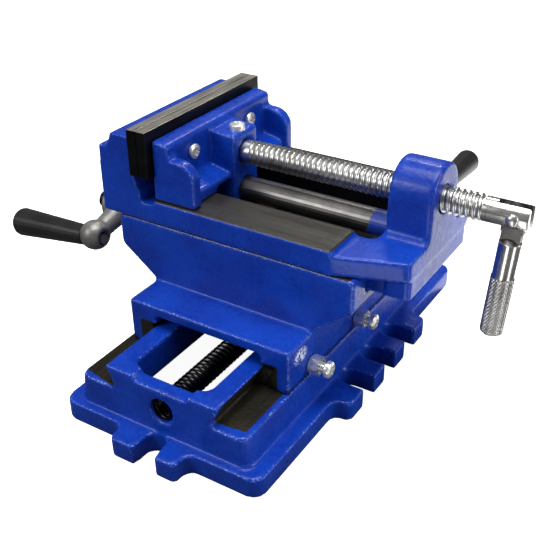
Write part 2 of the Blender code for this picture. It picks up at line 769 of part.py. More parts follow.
def upper_gib():
    z_low = upper_rail_bottom + CASTING_GAP
    z_high = SADDLE_TOP - CASTING_GAP
    low = upper_rail_half(z_low) + GAP
    high = upper_rail_half(z_high) + GAP
    half_x = TABLE_LENGTH / 2 - GIB_END_SETBACK
    strip = prism("upper_gib", [(low, z_low), (low + GIB_WIDTH, z_low), (high + GIB_WIDTH, z_high),
                                (high, z_high)], "X", -half_x, half_x)
    return finish(strip, bronze("upper gib steel"))


def gib_fastening(name, axis, wall, tip, centre):
    """Gib screw with a pan head standing off the locknut on the casting's wall."""
    nut_low = wall + GAP
    nut_high = nut_low + LOCKNUT_LENGTH
    head_low = wall + GIB_SCREW_STANDOUT
    head_high = head_low + GIB_HEAD_LENGTH
    screw = turned(name + "_screw", [(tip, 0), (tip, GIB_SCREW_RADIUS), (head_low, GIB_SCREW_RADIUS),
                                     (head_low, GIB_HEAD_RADIUS),
                                     (head_low + GIB_HEAD_LENGTH * 0.45, GIB_HEAD_RADIUS),
                                     (head_high, GIB_HEAD_RADIUS * 0.6)], axis, centre, 20)
    finish(screw, bright_steel(name + " screw steel"))
    nut = rod(name + "_locknut", axis, nut_low, nut_high, centre, LOCKNUT_RADIUS, 6)
    cut(nut, rod(name + " nut bore", axis, nut_low - GAP, nut_high + GAP, centre,
                 GIB_SCREW_RADIUS + GAP, 20))
    finish(nut, bright_steel(name + " nut steel"))
    return [screw, nut]


def gib_fastenings():
    made = []
    z = lower_gib_screw_z()
    tip = rail_half(LOWER_RAIL_WIDTH / 2, rail_top - z) + GAP + GIB_WIDTH + GAP
    reach = GIB_SCREW_RADIUS * DOVETAIL_SLOPE
    for number, y in enumerate(spread(GIB_SCREW_COUNT, LOWER_GIB_SCREW_PITCH), 1):
        made += gib_fastening(f"lower_gib_{number}", "X", SADDLE_WIDTH / 2, tip + reach, (0, y, z))
    z = upper_gib_screw_z()
    tip = upper_rail_half(z) + GAP + GIB_WIDTH + GAP
    for number, x in enumerate(spread(GIB_SCREW_COUNT, UPPER_GIB_SCREW_PITCH), 1):
        made += gib_fastening(f"upper_gib_{number}", "Y", TABLE_WIDTH / 2, tip + reach, (x, 0, z))
    return made


def base_nut():
    half_x = BASE_NUT_WIDTH / 2
    half_y = NUT_LENGTH / 2
    top = LOWER_RELIEF_HEIGHT - GAP
    nut = box("base_nut", (-half_x, half_x), (-half_y, half_y), (BASE_NUT_BOTTOM, top), bevel=1 * MM)
    spigot = rod("base nut spigot", "Z", top - CASTING_GAP, PIT_FLOOR_HEIGHT, ORIGIN, SPIGOT_RADIUS)
    join(nut, spigot)
    cut(nut, rod("base nut bore", "Y", -half_y - GAP, half_y + GAP, (0, 0, BASE_SCREW_HEIGHT),
                 SCREW_RADIUS + GAP))
    return finish(nut, cast_grey("base nut iron"))


def cross_nut():
    half_y = CROSS_NUT_WIDTH / 2
    x_low = CROSS_NUT_X - NUT_LENGTH / 2
    x_high = CROSS_NUT_X + NUT_LENGTH / 2
    top = upper_rail_bottom - GAP
    nut = box("cross_nut", (x_low, x_high), (-half_y, half_y), (CROSS_NUT_BOTTOM, top), bevel=1 * MM)
    spigot = rod("cross nut spigot", "Z", top - CASTING_GAP, slot_floor, (CROSS_NUT_X, 0, 0),
                 SPIGOT_RADIUS)
    join(nut, spigot)
    cut(nut, rod("cross nut bore", "X", x_low - GAP, x_high + GAP, (0, 0, CROSS_SCREW_HEIGHT),
                 SCREW_RADIUS + GAP))
    return finish(nut, cast_grey("cross nut iron"))


def sided(profile, sense):
    """Profile for the positive side of an axis, mirrored when sense is -1."""
    if sense > 0:
        return profile
    return [(-place, radius) for place, radius in reversed(profile)]


def lead_screw(name, axis, sense, thread_end, inner_end, hub_end, height):
    """Threaded shank, thinner journal and the stub that holds the crank.

    sense is the side of the crank: +1 or -1 along the axis.
    """
    shoulder = hub_end - HUB_END_WALL - GAP
    profile = [(thread_end, SCREW_RADIUS - 0.8 * MM), (thread_end + 0.8 * MM, SCREW_RADIUS),
               (inner_end, SCREW_RADIUS), (inner_end, JOURNAL_RADIUS), (shoulder, JOURNAL_RADIUS),
               (shoulder, STUB_RADIUS), (hub_end + STUB_LENGTH, STUB_RADIUS)]
    screw = turned(name, sided(profile, sense), axis, (0, 0, height))
    pin = hub_end - HUB_LENGTH + CRANK_PIN_PLACE
    cut(screw, rod(name + " pin hole", "Z", -HUB_RADIUS, HUB_RADIUS,
                   AXES[axis] * pin * sense + Vector((0, 0, height)), CRANK_PIN_RADIUS + GAP, 15))
    return screw


def thrust_collar(name, axis, sense, start, height):
    ends = sorted((sense * start, sense * (start + COLLAR_LENGTH)))
    collar = rod(name, axis, ends[0], ends[1], (0, 0, height), COLLAR_RADIUS)
    add_bevel(collar, 0.6 * MM, 1)
    cut(collar, rod(name + " bore", axis, ends[0] - GAP, ends[1] + GAP, (0, 0, height),
                    JOURNAL_RADIUS + GAP))
    return finish(collar, dark_steel(name + " steel"))


def crank_set(prefix, axis, sense, hub_start, hub_end, height, angle, droop=0, drop=0):
    """Crank, its pin, grip axle and grip, in the plane across a lead screw.

    The angle turns the ball about the screw, from the first outline direction
    of axis_frame towards the second.  The grip's own axis leans down by droop
    and passes below the ball's middle by drop.
    """
    frame = axis_frame(axis, ORIGIN)
    across = (frame.to_3x3() @ Vector((math.cos(angle), math.sin(angle), 0))).normalized()
    out = AXES[axis] * sense
    grip_out = out * math.cos(droop) - AXES["Z"] * math.sin(droop)
    centre = Vector((0, 0, height))
    arm_place = hub_end - ARM_FROM_HUB_END
    hub_middle = centre + out * arm_place
    ball_middle = hub_middle + across * CRANK_RADIUS
    grip_middle = ball_middle - AXES["Z"] * drop

    ends = sorted((sense * hub_start, sense * hub_end))
    hub = rod(prefix + "_crank", axis, ends[0], ends[1], centre, HUB_RADIUS)
    add_bevel(hub, 1.2 * MM, 1)
    arm = cone_between(prefix + " arm", hub_middle, ball_middle, ARM_HUB_RADIUS, ARM_BALL_RADIUS)
    ball = sphere(prefix + " ball", ball_middle, BALL_RADIUS)
    flat_room = BALL_RADIUS
    for side, flat in ((1, BALL_FLAT_OUTER), (-1, BALL_FLAT_INNER)):
        start = grip_middle + grip_out * side * flat
        cut(ball, cone_between(prefix + " ball flat", start, start + grip_out * side * flat_room,
                               BALL_RADIUS * 1.3, BALL_RADIUS * 1.3))
    join(hub, arm, ball)
    recess_floor = BALL_FLAT_INNER - BALL_RECESS_DEPTH
    wide = JOURNAL_RADIUS + GAP
    thin = STUB_RADIUS + GAP
    step = hub_end - HUB_END_WALL
    bore = turned(prefix + " hub bore",
                  sided([(hub_start - GAP, wide), (step, wide), (step, thin), (hub_end + GAP, thin)],
                        sense), axis, centre)
    pin_place = centre + out * (hub_start + CRANK_PIN_PLACE)
    snug = AXLE_RADIUS + GAP
    axle_bore = turned_along(prefix + " axle bore",
                             [(-flat_room * 1.4, BALL_RECESS_RADIUS), (-recess_floor, BALL_RECESS_RADIUS),
                              (-recess_floor, snug), (flat_room * 1.4, snug)],
                             grip_middle, grip_out)
    cut(hub, axle_bore, bore,
        rod(prefix + " pin hole", "Z", -HUB_RADIUS * 2, HUB_RADIUS * 2, pin_place,
            CRANK_PIN_RADIUS + GAP, 15))
    finish(hub, cast_grey(prefix + " crank iron"))

    pin = rod(prefix + "_crank_pin", "Z", -HUB_RADIUS + GAP, HUB_RADIUS - GAP, pin_place,
              CRANK_PIN_RADIUS, 15)
    finish(pin, bright_steel(prefix + " pin steel"))

    grip_start = grip_middle + grip_out * (BALL_FLAT_OUTER + GAP)
    axle_start = grip_middle - grip_out * (BALL_FLAT_INNER - AXLE_END_SINK)
    axle_end = grip_start + grip_out * (GRIP_BORE_DEPTH - CASTING_GAP)
    axle = cone_between(prefix + "_grip_axle", axle_start, axle_end, AXLE_RADIUS, AXLE_RADIUS, 20)
    finish(axle, bright_steel(prefix + " axle steel"))

    grip = crank_grip(prefix + "_grip", grip_start, grip_out)
    return hub, pin, axle, grip, grip_middle


def cone_between(name, start, end, radius_start, radius_end, segments=ROUND_SEGMENTS):
    mesh = bpy.data.meshes.new(name)
    bm = bmesh.new()
    along = end - start
    place = Matrix.Translation((start + end) / 2) @ along_axis(along.normalized())
    bmesh.ops.create_cone(bm, cap_ends=True, segments=segments, radius1=radius_start,
                          radius2=radius_end, depth=along.length, matrix=place)
    bm.to_mesh(mesh)
    bm.free()
    made = bpy.data.objects.new(name, mesh)
    parts.objects.link(made)
    return made


def sphere(name, middle, radius):
    mesh = bpy.data.meshes.new(name)
    bm = bmesh.new()
    bmesh.ops.create_uvsphere(bm, u_segments=20, v_segments=12, radius=radius,
                              matrix=Matrix.Translation(middle))
    bm.to_mesh(mesh)
    bm.free()
    made = bpy.data.objects.new(name, mesh)
    parts.objects.link(made)
    return made


def crank_grip(name, start, out):
    """Tapered sleeve, thin at the ball and domed at its free end."""
    dome = GRIP_END_RADIUS * 0.62
    shoulder = GRIP_LENGTH - dome
    profile = [(0, GRIP_NECK_RADIUS - 0.5 * MM), (0.5 * MM, GRIP_NECK_RADIUS),
               (shoulder, GRIP_END_RADIUS)]
    steps = 6
    for step in range(1, steps + 1):
        turn = step / steps * math.pi / 2
        profile.append((shoulder + dome * math.sin(turn), GRIP_END_RADIUS * math.cos(turn)))
    grip = turned_along(name, profile, start, out, 24)
    cut(grip, cone_between(name + " bore", start - out * GAP, start + out * GRIP_BORE_DEPTH,
                           AXLE_RADIUS + GAP, AXLE_RADIUS + GAP, 20))
    return finish(grip, black_plastic(name + " plastic"))


def fixed_jaw_outline():
    """Side view of the fixed jaw, in X and Z, with the seat of its plate."""
    step_x = BODY_LEFT_X + JAW_BACK_LEAN
    inner = step_x + JAW_STEP_WIDTH
    foot_top = end_plate_top + FIXED_FOOT_RISE
    return [
        (BODY_LEFT_X, body_bottom),
        (step_x, jaw_step, 1.5 * MM),
        (inner, jaw_step, 1.5 * MM),
        (inner + JAW_TOP_LEAN, JAW_TOP_HEIGHT, 1.5 * MM),
        (fixed_seat, JAW_TOP_HEIGHT),
        (fixed_seat, plate_bottom - GAP),
        (fixed_plate_back + FIXED_WALL_LEAN, foot_top + FIXED_FOOT_CHAMFER),
        (fixed_wall, foot_top),
        (fixed_wall, body_bottom),
    ]


def arch_outline():
    """Face view of the screw support, in Y and Z."""
    crown = ARCH_HALF_WIDTH * 0.98
    foot = end_plate_top
    flare = ARCH_HALF_WIDTH + ARCH_FLARE
    return [
        (-flare, body_bottom + CASTING_GAP), (-flare, foot),
        (-ARCH_HALF_WIDTH, foot + ARCH_FLARE * 0.8, ARCH_FLARE),
        (-ARCH_HALF_WIDTH, arch_top, crown),
        (ARCH_HALF_WIDTH, arch_top, crown),
        (ARCH_HALF_WIDTH, foot + ARCH_FLARE * 0.8, ARCH_FLARE),
        (flare, foot), (flare, body_bottom + CASTING_GAP),
    ]


def vise_body():
    half_y = BED_WIDTH / 2
    front_y = END_PLATE_FRONT_WIDTH / 2
    sunk = CASTING_GAP
    casting = prism("vise_body",
                    [(BODY_LEFT_X, -half_y), (WAY_END_X, -half_y, 3 * MM),
                     (BODY_RIGHT_X, -front_y, 3 * MM), (BODY_RIGHT_X, front_y, 3 * MM),
                     (WAY_END_X, half_y, 3 * MM), (BODY_LEFT_X, half_y)],
                    "Z", body_bottom, end_plate_top)
    ways = box("ways", (WAY_START_X, WAY_END_X), (-half_y, half_y),
               (end_plate_top - sunk, bed_top))
    jaw = prism("fixed jaw", fixed_jaw_outline(), "Y", -half_y, half_y)
    arch = prism("screw support", arch_outline(), "X", arch_left, BODY_RIGHT_X, bevel=1.2 * MM)
    bottom = upper_rail_half(upper_rail_bottom)
    top = upper_rail_half(body_bottom)
    rail = prism("upper dovetail", [(-bottom, upper_rail_bottom), (bottom, upper_rail_bottom),
                                    (top, body_bottom), (top, body_bottom + sunk),
                                    (-top, body_bottom + sunk), (-top, body_bottom)],
                 "X", BODY_LEFT_X, RAIL_END_BLOCK_X + sunk)
    rail_end = prism("rail end block",
                     [(RAIL_END_BLOCK_X, -bottom), (BODY_RIGHT_X - GAP, -bottom, RAIL_END_CORNER),
                      (BODY_RIGHT_X - GAP, bottom, RAIL_END_CORNER), (RAIL_END_BLOCK_X, bottom)],
                     "Z", upper_rail_bottom, body_bottom + sunk)
    join(casting, ways, jaw, arch, rail, rail_end)

    slot_y = BED_SLOT_WIDTH / 2
    slot_end = arch_left - BED_SLOT_END_WALL
    slot = prism("bed slot", [(fixed_wall, -slot_y), (slot_end, -slot_y, BED_SLOT_CORNER),
                              (slot_end, slot_y, BED_SLOT_CORNER), (fixed_wall, slot_y)],
                 "Z", slot_floor, bed_top + sunk)
    rod_hole = rod("guide rod seats", "X", fixed_wall - GUIDE_ROD_SEAT, arch_left + GUIDE_ROD_SEAT,
                   (0, 0, GUIDE_ROD_HEIGHT), GUIDE_ROD_RADIUS + GAP)
    screw_hole = rod("jaw screw hole", "X", arch_left - sunk, BODY_RIGHT_X + sunk,
                     (0, 0, JAW_SCREW_HEIGHT), JAW_SCREW_RADIUS + GAP)
    spigot_hole = rod("cross nut hole", "Z", upper_rail_bottom - sunk, slot_floor + sunk,
                      (CROSS_NUT_X, 0, 0), SPIGOT_RADIUS + GAP)
    cut(casting, slot, rod_hole, screw_hole, spigot_hole)
    for y in spread(2, PLATE_SCREW_SPACING):
        place = (0, y, plate_screw_z)
        cut(casting,
            rod("plate screw hole", "X", BODY_LEFT_X, fixed_seat + sunk, place,
                PLATE_SCREW_RADIUS + GAP, 16),
            rod("plate screw counterbore", "X", BODY_LEFT_X - sunk,
                BODY_LEFT_X + JAW_BACK_LEAN + FIXED_COUNTERBORE_DEPTH, place,
                FIXED_COUNTERBORE_RADIUS, 20))
    return finish(casting, blue_paint("vise body paint"))


def guide_rod():
    start = fixed_wall - GUIDE_ROD_SEAT + GAP
    end = arch_left + GUIDE_ROD_SEAT - GAP
    bar = rod("guide_rod", "X", start, end, (0, 0, GUIDE_ROD_HEIGHT), GUIDE_ROD_RADIUS)
    return finish(bar, dark_steel("guide rod steel"))


def jaw_plate(name, low, high, holes_from):
    """Hardened plate, tapped from its back for two screws."""
    half = PLATE_WIDTH / 2
    plate = box(name, (low, high), (-half, half), (plate_bottom, plate_top), bevel=0.4 * MM)
    sense = 1 if holes_from == low else -1
    floor = holes_from + sense * (PLATE_SCREW_BITE + GAP)
    ends = sorted((holes_from - sense * GAP, floor))
    for y in spread(2, PLATE_SCREW_SPACING):
        cut(plate, rod(name + " tapped hole", "X", ends[0], ends[1], (0, y, plate_screw_z),
                       PLATE_SCREW_RADIUS + GAP, 16))
    return finish(plate, black_steel(name + " steel"))


def plate_screw(name, seat, tip, y):
    """Pan head screw whose head lies on seat and whose end is at tip."""
    sense = 1 if tip > seat else -1
    head = seat - sense * GAP
    outer = head - sense * PLATE_HEAD_LENGTH
    crown = head - sense * PLATE_HEAD_LENGTH * 0.5
    profile = [(outer, PLATE_HEAD_RADIUS * 0.6), (crown, PLATE_HEAD_RADIUS),
               (head, PLATE_HEAD_RADIUS), (head, PLATE_SCREW_RADIUS), (tip, PLATE_SCREW_RADIUS)]
    if sense < 0:
        profile.reverse()
    screw = turned(name, profile, "X", (0, y, plate_screw_z), 20)
    return finish(screw, bright_steel(name + " steel"))


def moving_jaw():
    half_y = MOVING_JAW_WIDTH / 2
    slide_z = bed_top + GAP
    sunk = CASTING_GAP
    shelf_front = moving_seat + SHELF_REACH
    jaw = prism("moving_jaw",
                [(moving_wall, slide_z), (cheek_front, slide_z, 1 * MM),
                 (cheek_front, cheek_top, CHEEK_CORNER),
                 (moving_rear, cheek_top, 2 * MM),
                 (moving_rear, JAW_TOP_HEIGHT - 1.4 * MM, 2 * MM), (moving_seat, JAW_TOP_HEIGHT),
                 (moving_seat, plate_bottom - GAP), (moving_wall, plate_bottom - GAP)],
                "Y", -half_y, half_y)
    hollow_y = half_y - CHEEK_THICKNESS
    hollow = prism("hollow between the cheeks",
                   [(moving_rear, cheek_top + CHEEK_CORNER),
                    (moving_rear, shelf_back, 1.5 * MM),
                    (shelf_front, shelf_front_z, 1.5 * MM), (shelf_front, slide_z - sunk),
                    (cheek_front + sunk, slide_z - sunk),
                    (cheek_front + sunk, cheek_top + CHEEK_CORNER)],
                   "Y", -hollow_y, hollow_y)
    block_y = NOSE_BLOCK_WIDTH / 2
    way_y = ARCHWAY_SPAN / 2
    way_z = slide_z + ARCHWAY_RISE
    archway = prism("archway",
                    [(-way_y, slide_z - sunk), (way_y, slide_z - sunk),
                     (way_y, way_z, ARCHWAY_CORNER), (-way_y, way_z, ARCHWAY_CORNER)],
                    "X", moving_wall - sunk, cheek_front + sunk)
    cut(jaw, hollow, archway)
    block_back = moving_seat + sunk
    block = prism("screw block",
                  [(block_back, nose_block_bottom), (nose_front, nose_block_bottom, 1 * MM),
                   (nose_front, nose_front_top, 2 * MM), (moving_rear, nose_block_top),
                   (block_back, nose_block_top)],
                  "Y", -block_y, block_y)
    join(jaw, block)
    nose_hole = rod("nose socket", "X", jaw_nose_end - GAP, nose_front + sunk,
                    (0, 0, JAW_SCREW_HEIGHT), JAW_NOSE_RADIUS + GAP)
    mouth = rod("nose socket mouth", "X", nose_front - CASTING_GAP, nose_front + sunk,
                (0, 0, JAW_SCREW_HEIGHT), JAW_SCREW_RADIUS + GAP)
    rod_hole = rod("guide rod bore", "X", moving_wall - sunk, nose_front + sunk,
                   (0, 0, GUIDE_ROD_HEIGHT), GUIDE_ROD_RADIUS + GAP)
    retainer_hole = rod("retainer hole", "Z", JAW_SCREW_HEIGHT, nose_block_top + sunk,
                        (retainer_x, 0, 0), RETAINER_RADIUS + GAP, 20)
    retainer_seat = rod("retainer seat", "Z", retainer_head_low - GAP, nose_block_top + sunk,
                        (retainer_x, 0, 0), RETAINER_HEAD_RADIUS + 2 * GAP, 24)
    cut(jaw, nose_hole, mouth, rod_hole, retainer_hole, retainer_seat)
    for y in spread(2, PLATE_SCREW_SPACING):
        cut(jaw, rod("plate screw hole", "X", moving_seat - sunk, moving_rear + sunk,
                      (0, y, plate_screw_z), PLATE_SCREW_RADIUS + GAP, 16))
    return finish(jaw, blue_paint("moving jaw paint"))


def retaining_screw():
    """Screw from above whose end sits in the groove of the jaw screw."""
    tip = JAW_SCREW_HEIGHT + JAW_GROOVE_RADIUS + GAP
    top = retainer_head_low + RETAINER_HEAD_LENGTH
    screw = turned("nose_retaining_screw",
                   [(tip, RETAINER_RADIUS), (retainer_head_low, RETAINER_RADIUS),
                    (retainer_head_low, RETAINER_HEAD_RADIUS),
                    (top - 0.6 * MM, RETAINER_HEAD_RADIUS), (top, RETAINER_HEAD_RADIUS - 0.6 * MM)],
                   "Z", (retainer_x, 0, 0), 24)
    return finish(screw, bright_steel("retaining screw steel"))


def jaw_screw():
    thread_start = nose_front + GAP
    groove_low = retainer_x - JAW_GROOVE_WIDTH / 2
    groove_high = retainer_x + JAW_GROOVE_WIDTH / 2
    screw = turned("jaw_screw",
                   [(jaw_nose_end, JAW_NOSE_RADIUS - 0.8 * MM),
                    (jaw_nose_end + 0.8 * MM, JAW_NOSE_RADIUS), (groove_low, JAW_NOSE_RADIUS),
                    (groove_low, JAW_GROOVE_RADIUS), (groove_high, JAW_GROOVE_RADIUS),
                    (groove_high, JAW_NOSE_RADIUS), (thread_start, JAW_NOSE_RADIUS),
                    (thread_start + 1.2 * MM, JAW_SCREW_RADIUS), (jaw_head_start, JAW_SCREW_RADIUS),
                    (jaw_head_start, JAW_HEAD_RADIUS), (jaw_head_end - 1 * MM, JAW_HEAD_RADIUS),
                    (jaw_head_end, JAW_HEAD_RADIUS - 1 * MM)],
                   "X", (0, 0, JAW_SCREW_HEIGHT))
    half = CLEVIS_SLOT / 2
    reach = JAW_HEAD_RADIUS * 1.3
    slot = box("clevis slot", (jaw_head_end - CLEVIS_SLOT_DEPTH, jaw_head_end + CASTING_GAP),
               (-half, half), (JAW_SCREW_HEIGHT - reach, JAW_SCREW_HEIGHT + reach))
    pin_hole = rod("pin hole", "Y", -reach, reach, (handle_pin_x, 0, JAW_SCREW_HEIGHT),
                   PIN_RADIUS + GAP, 20)
    cut(screw, slot, pin_hole)
    return finish(screw, bright_steel("jaw screw steel"))


def handle_pin():
    half = JAW_HEAD_RADIUS + GAP
    pin = turned("handle_pin",
                 [(-half - PIN_HEAD_LENGTH, PIN_HEAD_RADIUS * 0.6), (-half, PIN_HEAD_RADIUS),
                  (-half, PIN_RADIUS), (half, PIN_RADIUS), (half, PIN_HEAD_RADIUS),
                  (half + PIN_HEAD_LENGTH, PIN_HEAD_RADIUS * 0.6)],
                 "Y", (handle_pin_x, 0, JAW_SCREW_HEIGHT), 20)
    return finish(pin, bright_steel("handle pin steel"))


def swing_handle():
    """Flat eye and tongue in the clevis, then a round bar with a thicker end."""
    pivot = Vector((handle_pin_x, 0, JAW_SCREW_HEIGHT))
    knurl_start = HANDLE_LENGTH - KNURL_LENGTH
    bar = turned("swing_handle",
                 [(HANDLE_TONGUE_LENGTH - 1.5 * MM, HANDLE_RADIUS - 1.8 * MM),
                  (HANDLE_TONGUE_LENGTH, HANDLE_RADIUS), (knurl_start, HANDLE_RADIUS),
                  (knurl_start + 1 * MM, HANDLE_RADIUS + 0.2 * MM),
                  (HANDLE_LENGTH - 1 * MM, HANDLE_END_RADIUS),
                  (HANDLE_LENGTH, HANDLE_END_RADIUS - 1 * MM)], "Z", ORIGIN)
    tongue_half = CLEVIS_SLOT / 2 - GAP
    eye = HANDLE_EYE_RADIUS
    tongue = prism("handle tongue", [(-eye, -eye, eye * 0.98), (eye, -eye, eye * 0.98),
                                     (eye, HANDLE_TONGUE_LENGTH + CASTING_GAP),
                                     (-eye, HANDLE_TONGUE_LENGTH + CASTING_GAP)],
                   "Y", -tongue_half, tongue_half)
    neck = HANDLE_RADIUS - 0.4 * MM
    for side in (-1, 1):
        ends = sorted((side * neck, side * eye * 2))
        cut(tongue, box("tongue side", ends, (-eye, eye),
                        (HANDLE_TONGUE_LENGTH * 0.62, HANDLE_TONGUE_LENGTH + 2 * CASTING_GAP)))
    join(bar, tongue)
    cut(bar, rod("handle pin bore", "Y", -eye, eye, ORIGIN, PIN_RADIUS + GAP, 20))
    hang = Matrix.Translation(pivot) @ Matrix.Rotation(math.pi + HANDLE_TILT, 4, "Y")
    for piece in (bar, *[step.object for step in bar.modifiers], *[
            step.object for step in tongue.modifiers]):
        piece.matrix_world = hang
    return finish(bar, bright_steel("swing handle steel"))


def build():
    base_casting()

    base_centre = Vector((0, 0, BASE_SCREW_HEIGHT))
    screw = finish(lead_screw("base_lead_screw", "Y", 1, -base_wall_end + FRONT_COUNTERBORE_DEPTH,
                              base_inner_end, base_hub_end, BASE_SCREW_HEIGHT),
                   black_steel("base screw steel"))
    collar = thrust_collar("base_thrust_collar", "Y", 1, base_collar_start, BASE_SCREW_HEIGHT)
    crank, pin, axle, grip, ball = crank_set("base", "Y", 1, base_hub_start, base_hub_end,
                                             BASE_SCREW_HEIGHT, BASE_CRANK_ANGLE)
    carry(joint_empty("base_screw_axis", base_centre), screw, collar, crank, pin, axle)
    carry(joint_empty("base_grip_axis", ball), grip)

    saddle = [saddle_casting(), base_nut(), lower_gib(), upper_gib(), *gib_fastenings()]
    carry(joint_empty("saddle_slide", (0, 0, LEDGE_HEIGHT)), *saddle)

    cross_centre = Vector((0, 0, CROSS_SCREW_HEIGHT))
    right_end = -(PIT_LENGTH / 2 + 11 * MM)
    screw = finish(lead_screw("cross_lead_screw", "X", -1, right_end, PIT_LENGTH / 2,
                              cross_hub_end, CROSS_SCREW_HEIGHT), black_steel("cross screw steel"))
    collar = thrust_collar("cross_thrust_collar", "X", -1, cross_collar_start, CROSS_SCREW_HEIGHT)
    crank, pin, axle, grip, ball = crank_set("cross", "X", -1, cross_hub_start, cross_hub_end,
                                             CROSS_SCREW_HEIGHT, CROSS_CRANK_ANGLE,
                                             CROSS_GRIP_DROOP, CROSS_GRIP_DROP)
    carry(joint_empty("cross_screw_axis", cross_centre), screw, collar, crank, pin, axle)
    carry(joint_empty("cross_grip_axis", ball), grip)

    body = [vise_body(), cross_nut(), guide_rod(),
            jaw_plate("fixed_jaw_plate", fixed_plate_back, fixed_plate_front, fixed_plate_back)]
    fixed_seat_of_head = BODY_LEFT_X + JAW_BACK_LEAN + FIXED_COUNTERBORE_DEPTH
    for number, y in enumerate(spread(2, PLATE_SCREW_SPACING), 1):
        body.append(plate_screw(f"fixed_plate_screw_{number}", fixed_seat_of_head,
                                fixed_plate_back + PLATE_SCREW_BITE, y))
    carry(joint_empty("vise_slide", (0, 0, body_bottom)), *body)

    jaw = [moving_jaw(), retaining_screw(),
           jaw_plate("moving_jaw_plate", moving_plate_front, moving_plate_back, moving_plate_back)]
    for number, y in enumerate(spread(2, PLATE_SCREW_SPACING), 1):
        jaw.append(plate_screw(f"moving_plate_screw_{number}", moving_rear,
                               moving_plate_back - PLATE_SCREW_BITE, y))
    carry(joint_empty("jaw_slide", (moving_seat, 0, bed_top)), *jaw)

    carry(joint_empty("jaw_screw_axis", (nose_front, 0, JAW_SCREW_HEIGHT)), jaw_screw(), handle_pin())
    swing_handle()


build()
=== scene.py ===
"""Dresses the cross slide vise: enamelled castings, ground ways, cut threads, knurl and small fasteners."""

import json
import math

import bmesh
import bpy
import numpy as np
from mathutils import Matrix, Vector

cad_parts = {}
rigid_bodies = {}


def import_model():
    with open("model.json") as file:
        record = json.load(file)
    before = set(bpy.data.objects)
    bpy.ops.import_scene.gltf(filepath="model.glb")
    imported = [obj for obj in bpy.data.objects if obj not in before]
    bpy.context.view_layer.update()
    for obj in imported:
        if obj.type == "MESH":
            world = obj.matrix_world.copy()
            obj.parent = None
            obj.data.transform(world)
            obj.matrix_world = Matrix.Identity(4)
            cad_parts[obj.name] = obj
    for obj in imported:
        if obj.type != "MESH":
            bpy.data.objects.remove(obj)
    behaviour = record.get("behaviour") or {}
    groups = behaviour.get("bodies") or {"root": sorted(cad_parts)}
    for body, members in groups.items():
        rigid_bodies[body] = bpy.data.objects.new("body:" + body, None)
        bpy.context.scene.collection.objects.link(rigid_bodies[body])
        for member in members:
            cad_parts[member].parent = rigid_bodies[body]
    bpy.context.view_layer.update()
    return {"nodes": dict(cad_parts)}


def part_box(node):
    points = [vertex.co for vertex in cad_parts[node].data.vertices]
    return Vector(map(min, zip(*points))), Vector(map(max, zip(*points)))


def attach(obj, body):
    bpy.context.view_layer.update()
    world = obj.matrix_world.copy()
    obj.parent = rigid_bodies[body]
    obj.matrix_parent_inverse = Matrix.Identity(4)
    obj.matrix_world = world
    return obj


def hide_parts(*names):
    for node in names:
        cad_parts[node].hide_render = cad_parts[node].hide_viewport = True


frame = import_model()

# Lengths are in metres, so a millimetre is a factor.
MM = 0.001

# Castings: how finely they are drawn and how soft the foundry left their edges
CASTING_GRAIN = 0.85 * MM
CRANK_GRAIN = 0.42 * MM
EDGE_SOFTENING = 7
CRANK_SOFTENING = 6
EDGE_READING = 10
CAST_RIPPLE = 0.03 * MM

# Heights of the machined faces
LEDGE_TOP = 27.6 * MM
RAIL_TOP = 39.1 * MM
SADDLE_BOTTOM = 27.9 * MM
TABLE_TOP = 84.9 * MM
BODY_BOTTOM = 85.2 * MM
BED_TOP = 97.7 * MM
JAW_FOOT = 98 * MM

# Where the enamel ends and where it is rubbed
SLIDE_PAINT_FROM = 52 * MM
WEAR_PLACE = np.array((47.2, -58.2, 44.3)) * MM
WEAR_REACH = np.array((4, 5.6, 4)) * MM

# Screws
SCREW_PITCH = 3 * MM
SCREW_CREST = 6 * MM
SCREW_ROOT = 4.7 * MM
BASE_SCREW_HEIGHT = 24.6 * MM
CROSS_SCREW_HEIGHT = 60 * MM
JAW_SCREW_HEIGHT = 112.6 * MM
JAW_PITCH = 2.98 * MM
JAW_CREST = 6.5 * MM
JAW_ROOT = 5.4 * MM
JAW_COLLAR_LENGTH = 4.6 * MM
JAW_HEAD_RADIUS = 6 * MM

# Swing handle
HANDLE_TILT = math.radians(3.8)
HANDLE_LENGTH = 63 * MM
KNURL_LENGTH = 32 * MM
KNURL_DEPTH = 0.42 * MM
KNURL_STARTS = 26
KNURL_ANGLE = math.radians(30)
KNURL_ROWS = 150
TONGUE_END = 13 * MM
HANDLE_RADIUS = 5.25 * MM
HANDLE_END_RADIUS = 5.6 * MM
HANDLE_PIN_X = 122.8 * MM

# Small fasteners
GIB_HEAD_RADIUS = 4.4 * MM
GIB_SHANK_RADIUS = 2.5 * MM
NUT_RADIUS = 5.1 * MM
CROSS_ARM = 0.75 * MM
CROSS_WALL = 0.3 * MM
NUT_LENGTH = 5.4 * MM

# Studio: lamps with place, size and watts, and bright cards on the floor with turn, spread, reach and power
LAMPS = [
    ("overhead", (0.05, -0.1, 1.15), 0.7, 12),
    ("left", (-0.6, -1.0, 0.75), 0.5, 7),
    ("right", (0.95, 0.25, 0.3), 0.5, 4.4),
    ("glint", (-0.25, 0.75, 0.95), 0.16, 2),
]
CARDS = [(-22, 9, 0.5, 2.2), (-94, 9, 0.5, 2.2), (95, 30, 0.6, 1)]
CARD_APEX = 128 * MM
CARD_HEIGHT = 0.5 * MM

ROUND = 64
SEED = 7
rng = np.random.default_rng(SEED)


def node_place(name):
    """Low and high corners of a CAD node as vectors."""
    low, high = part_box(name)
    return Vector(low), Vector(high)


def frame_body(node):
    """The body that a CAD node belongs to."""
    return frame["nodes"][node].parent.name.removeprefix("body:")


# Materials

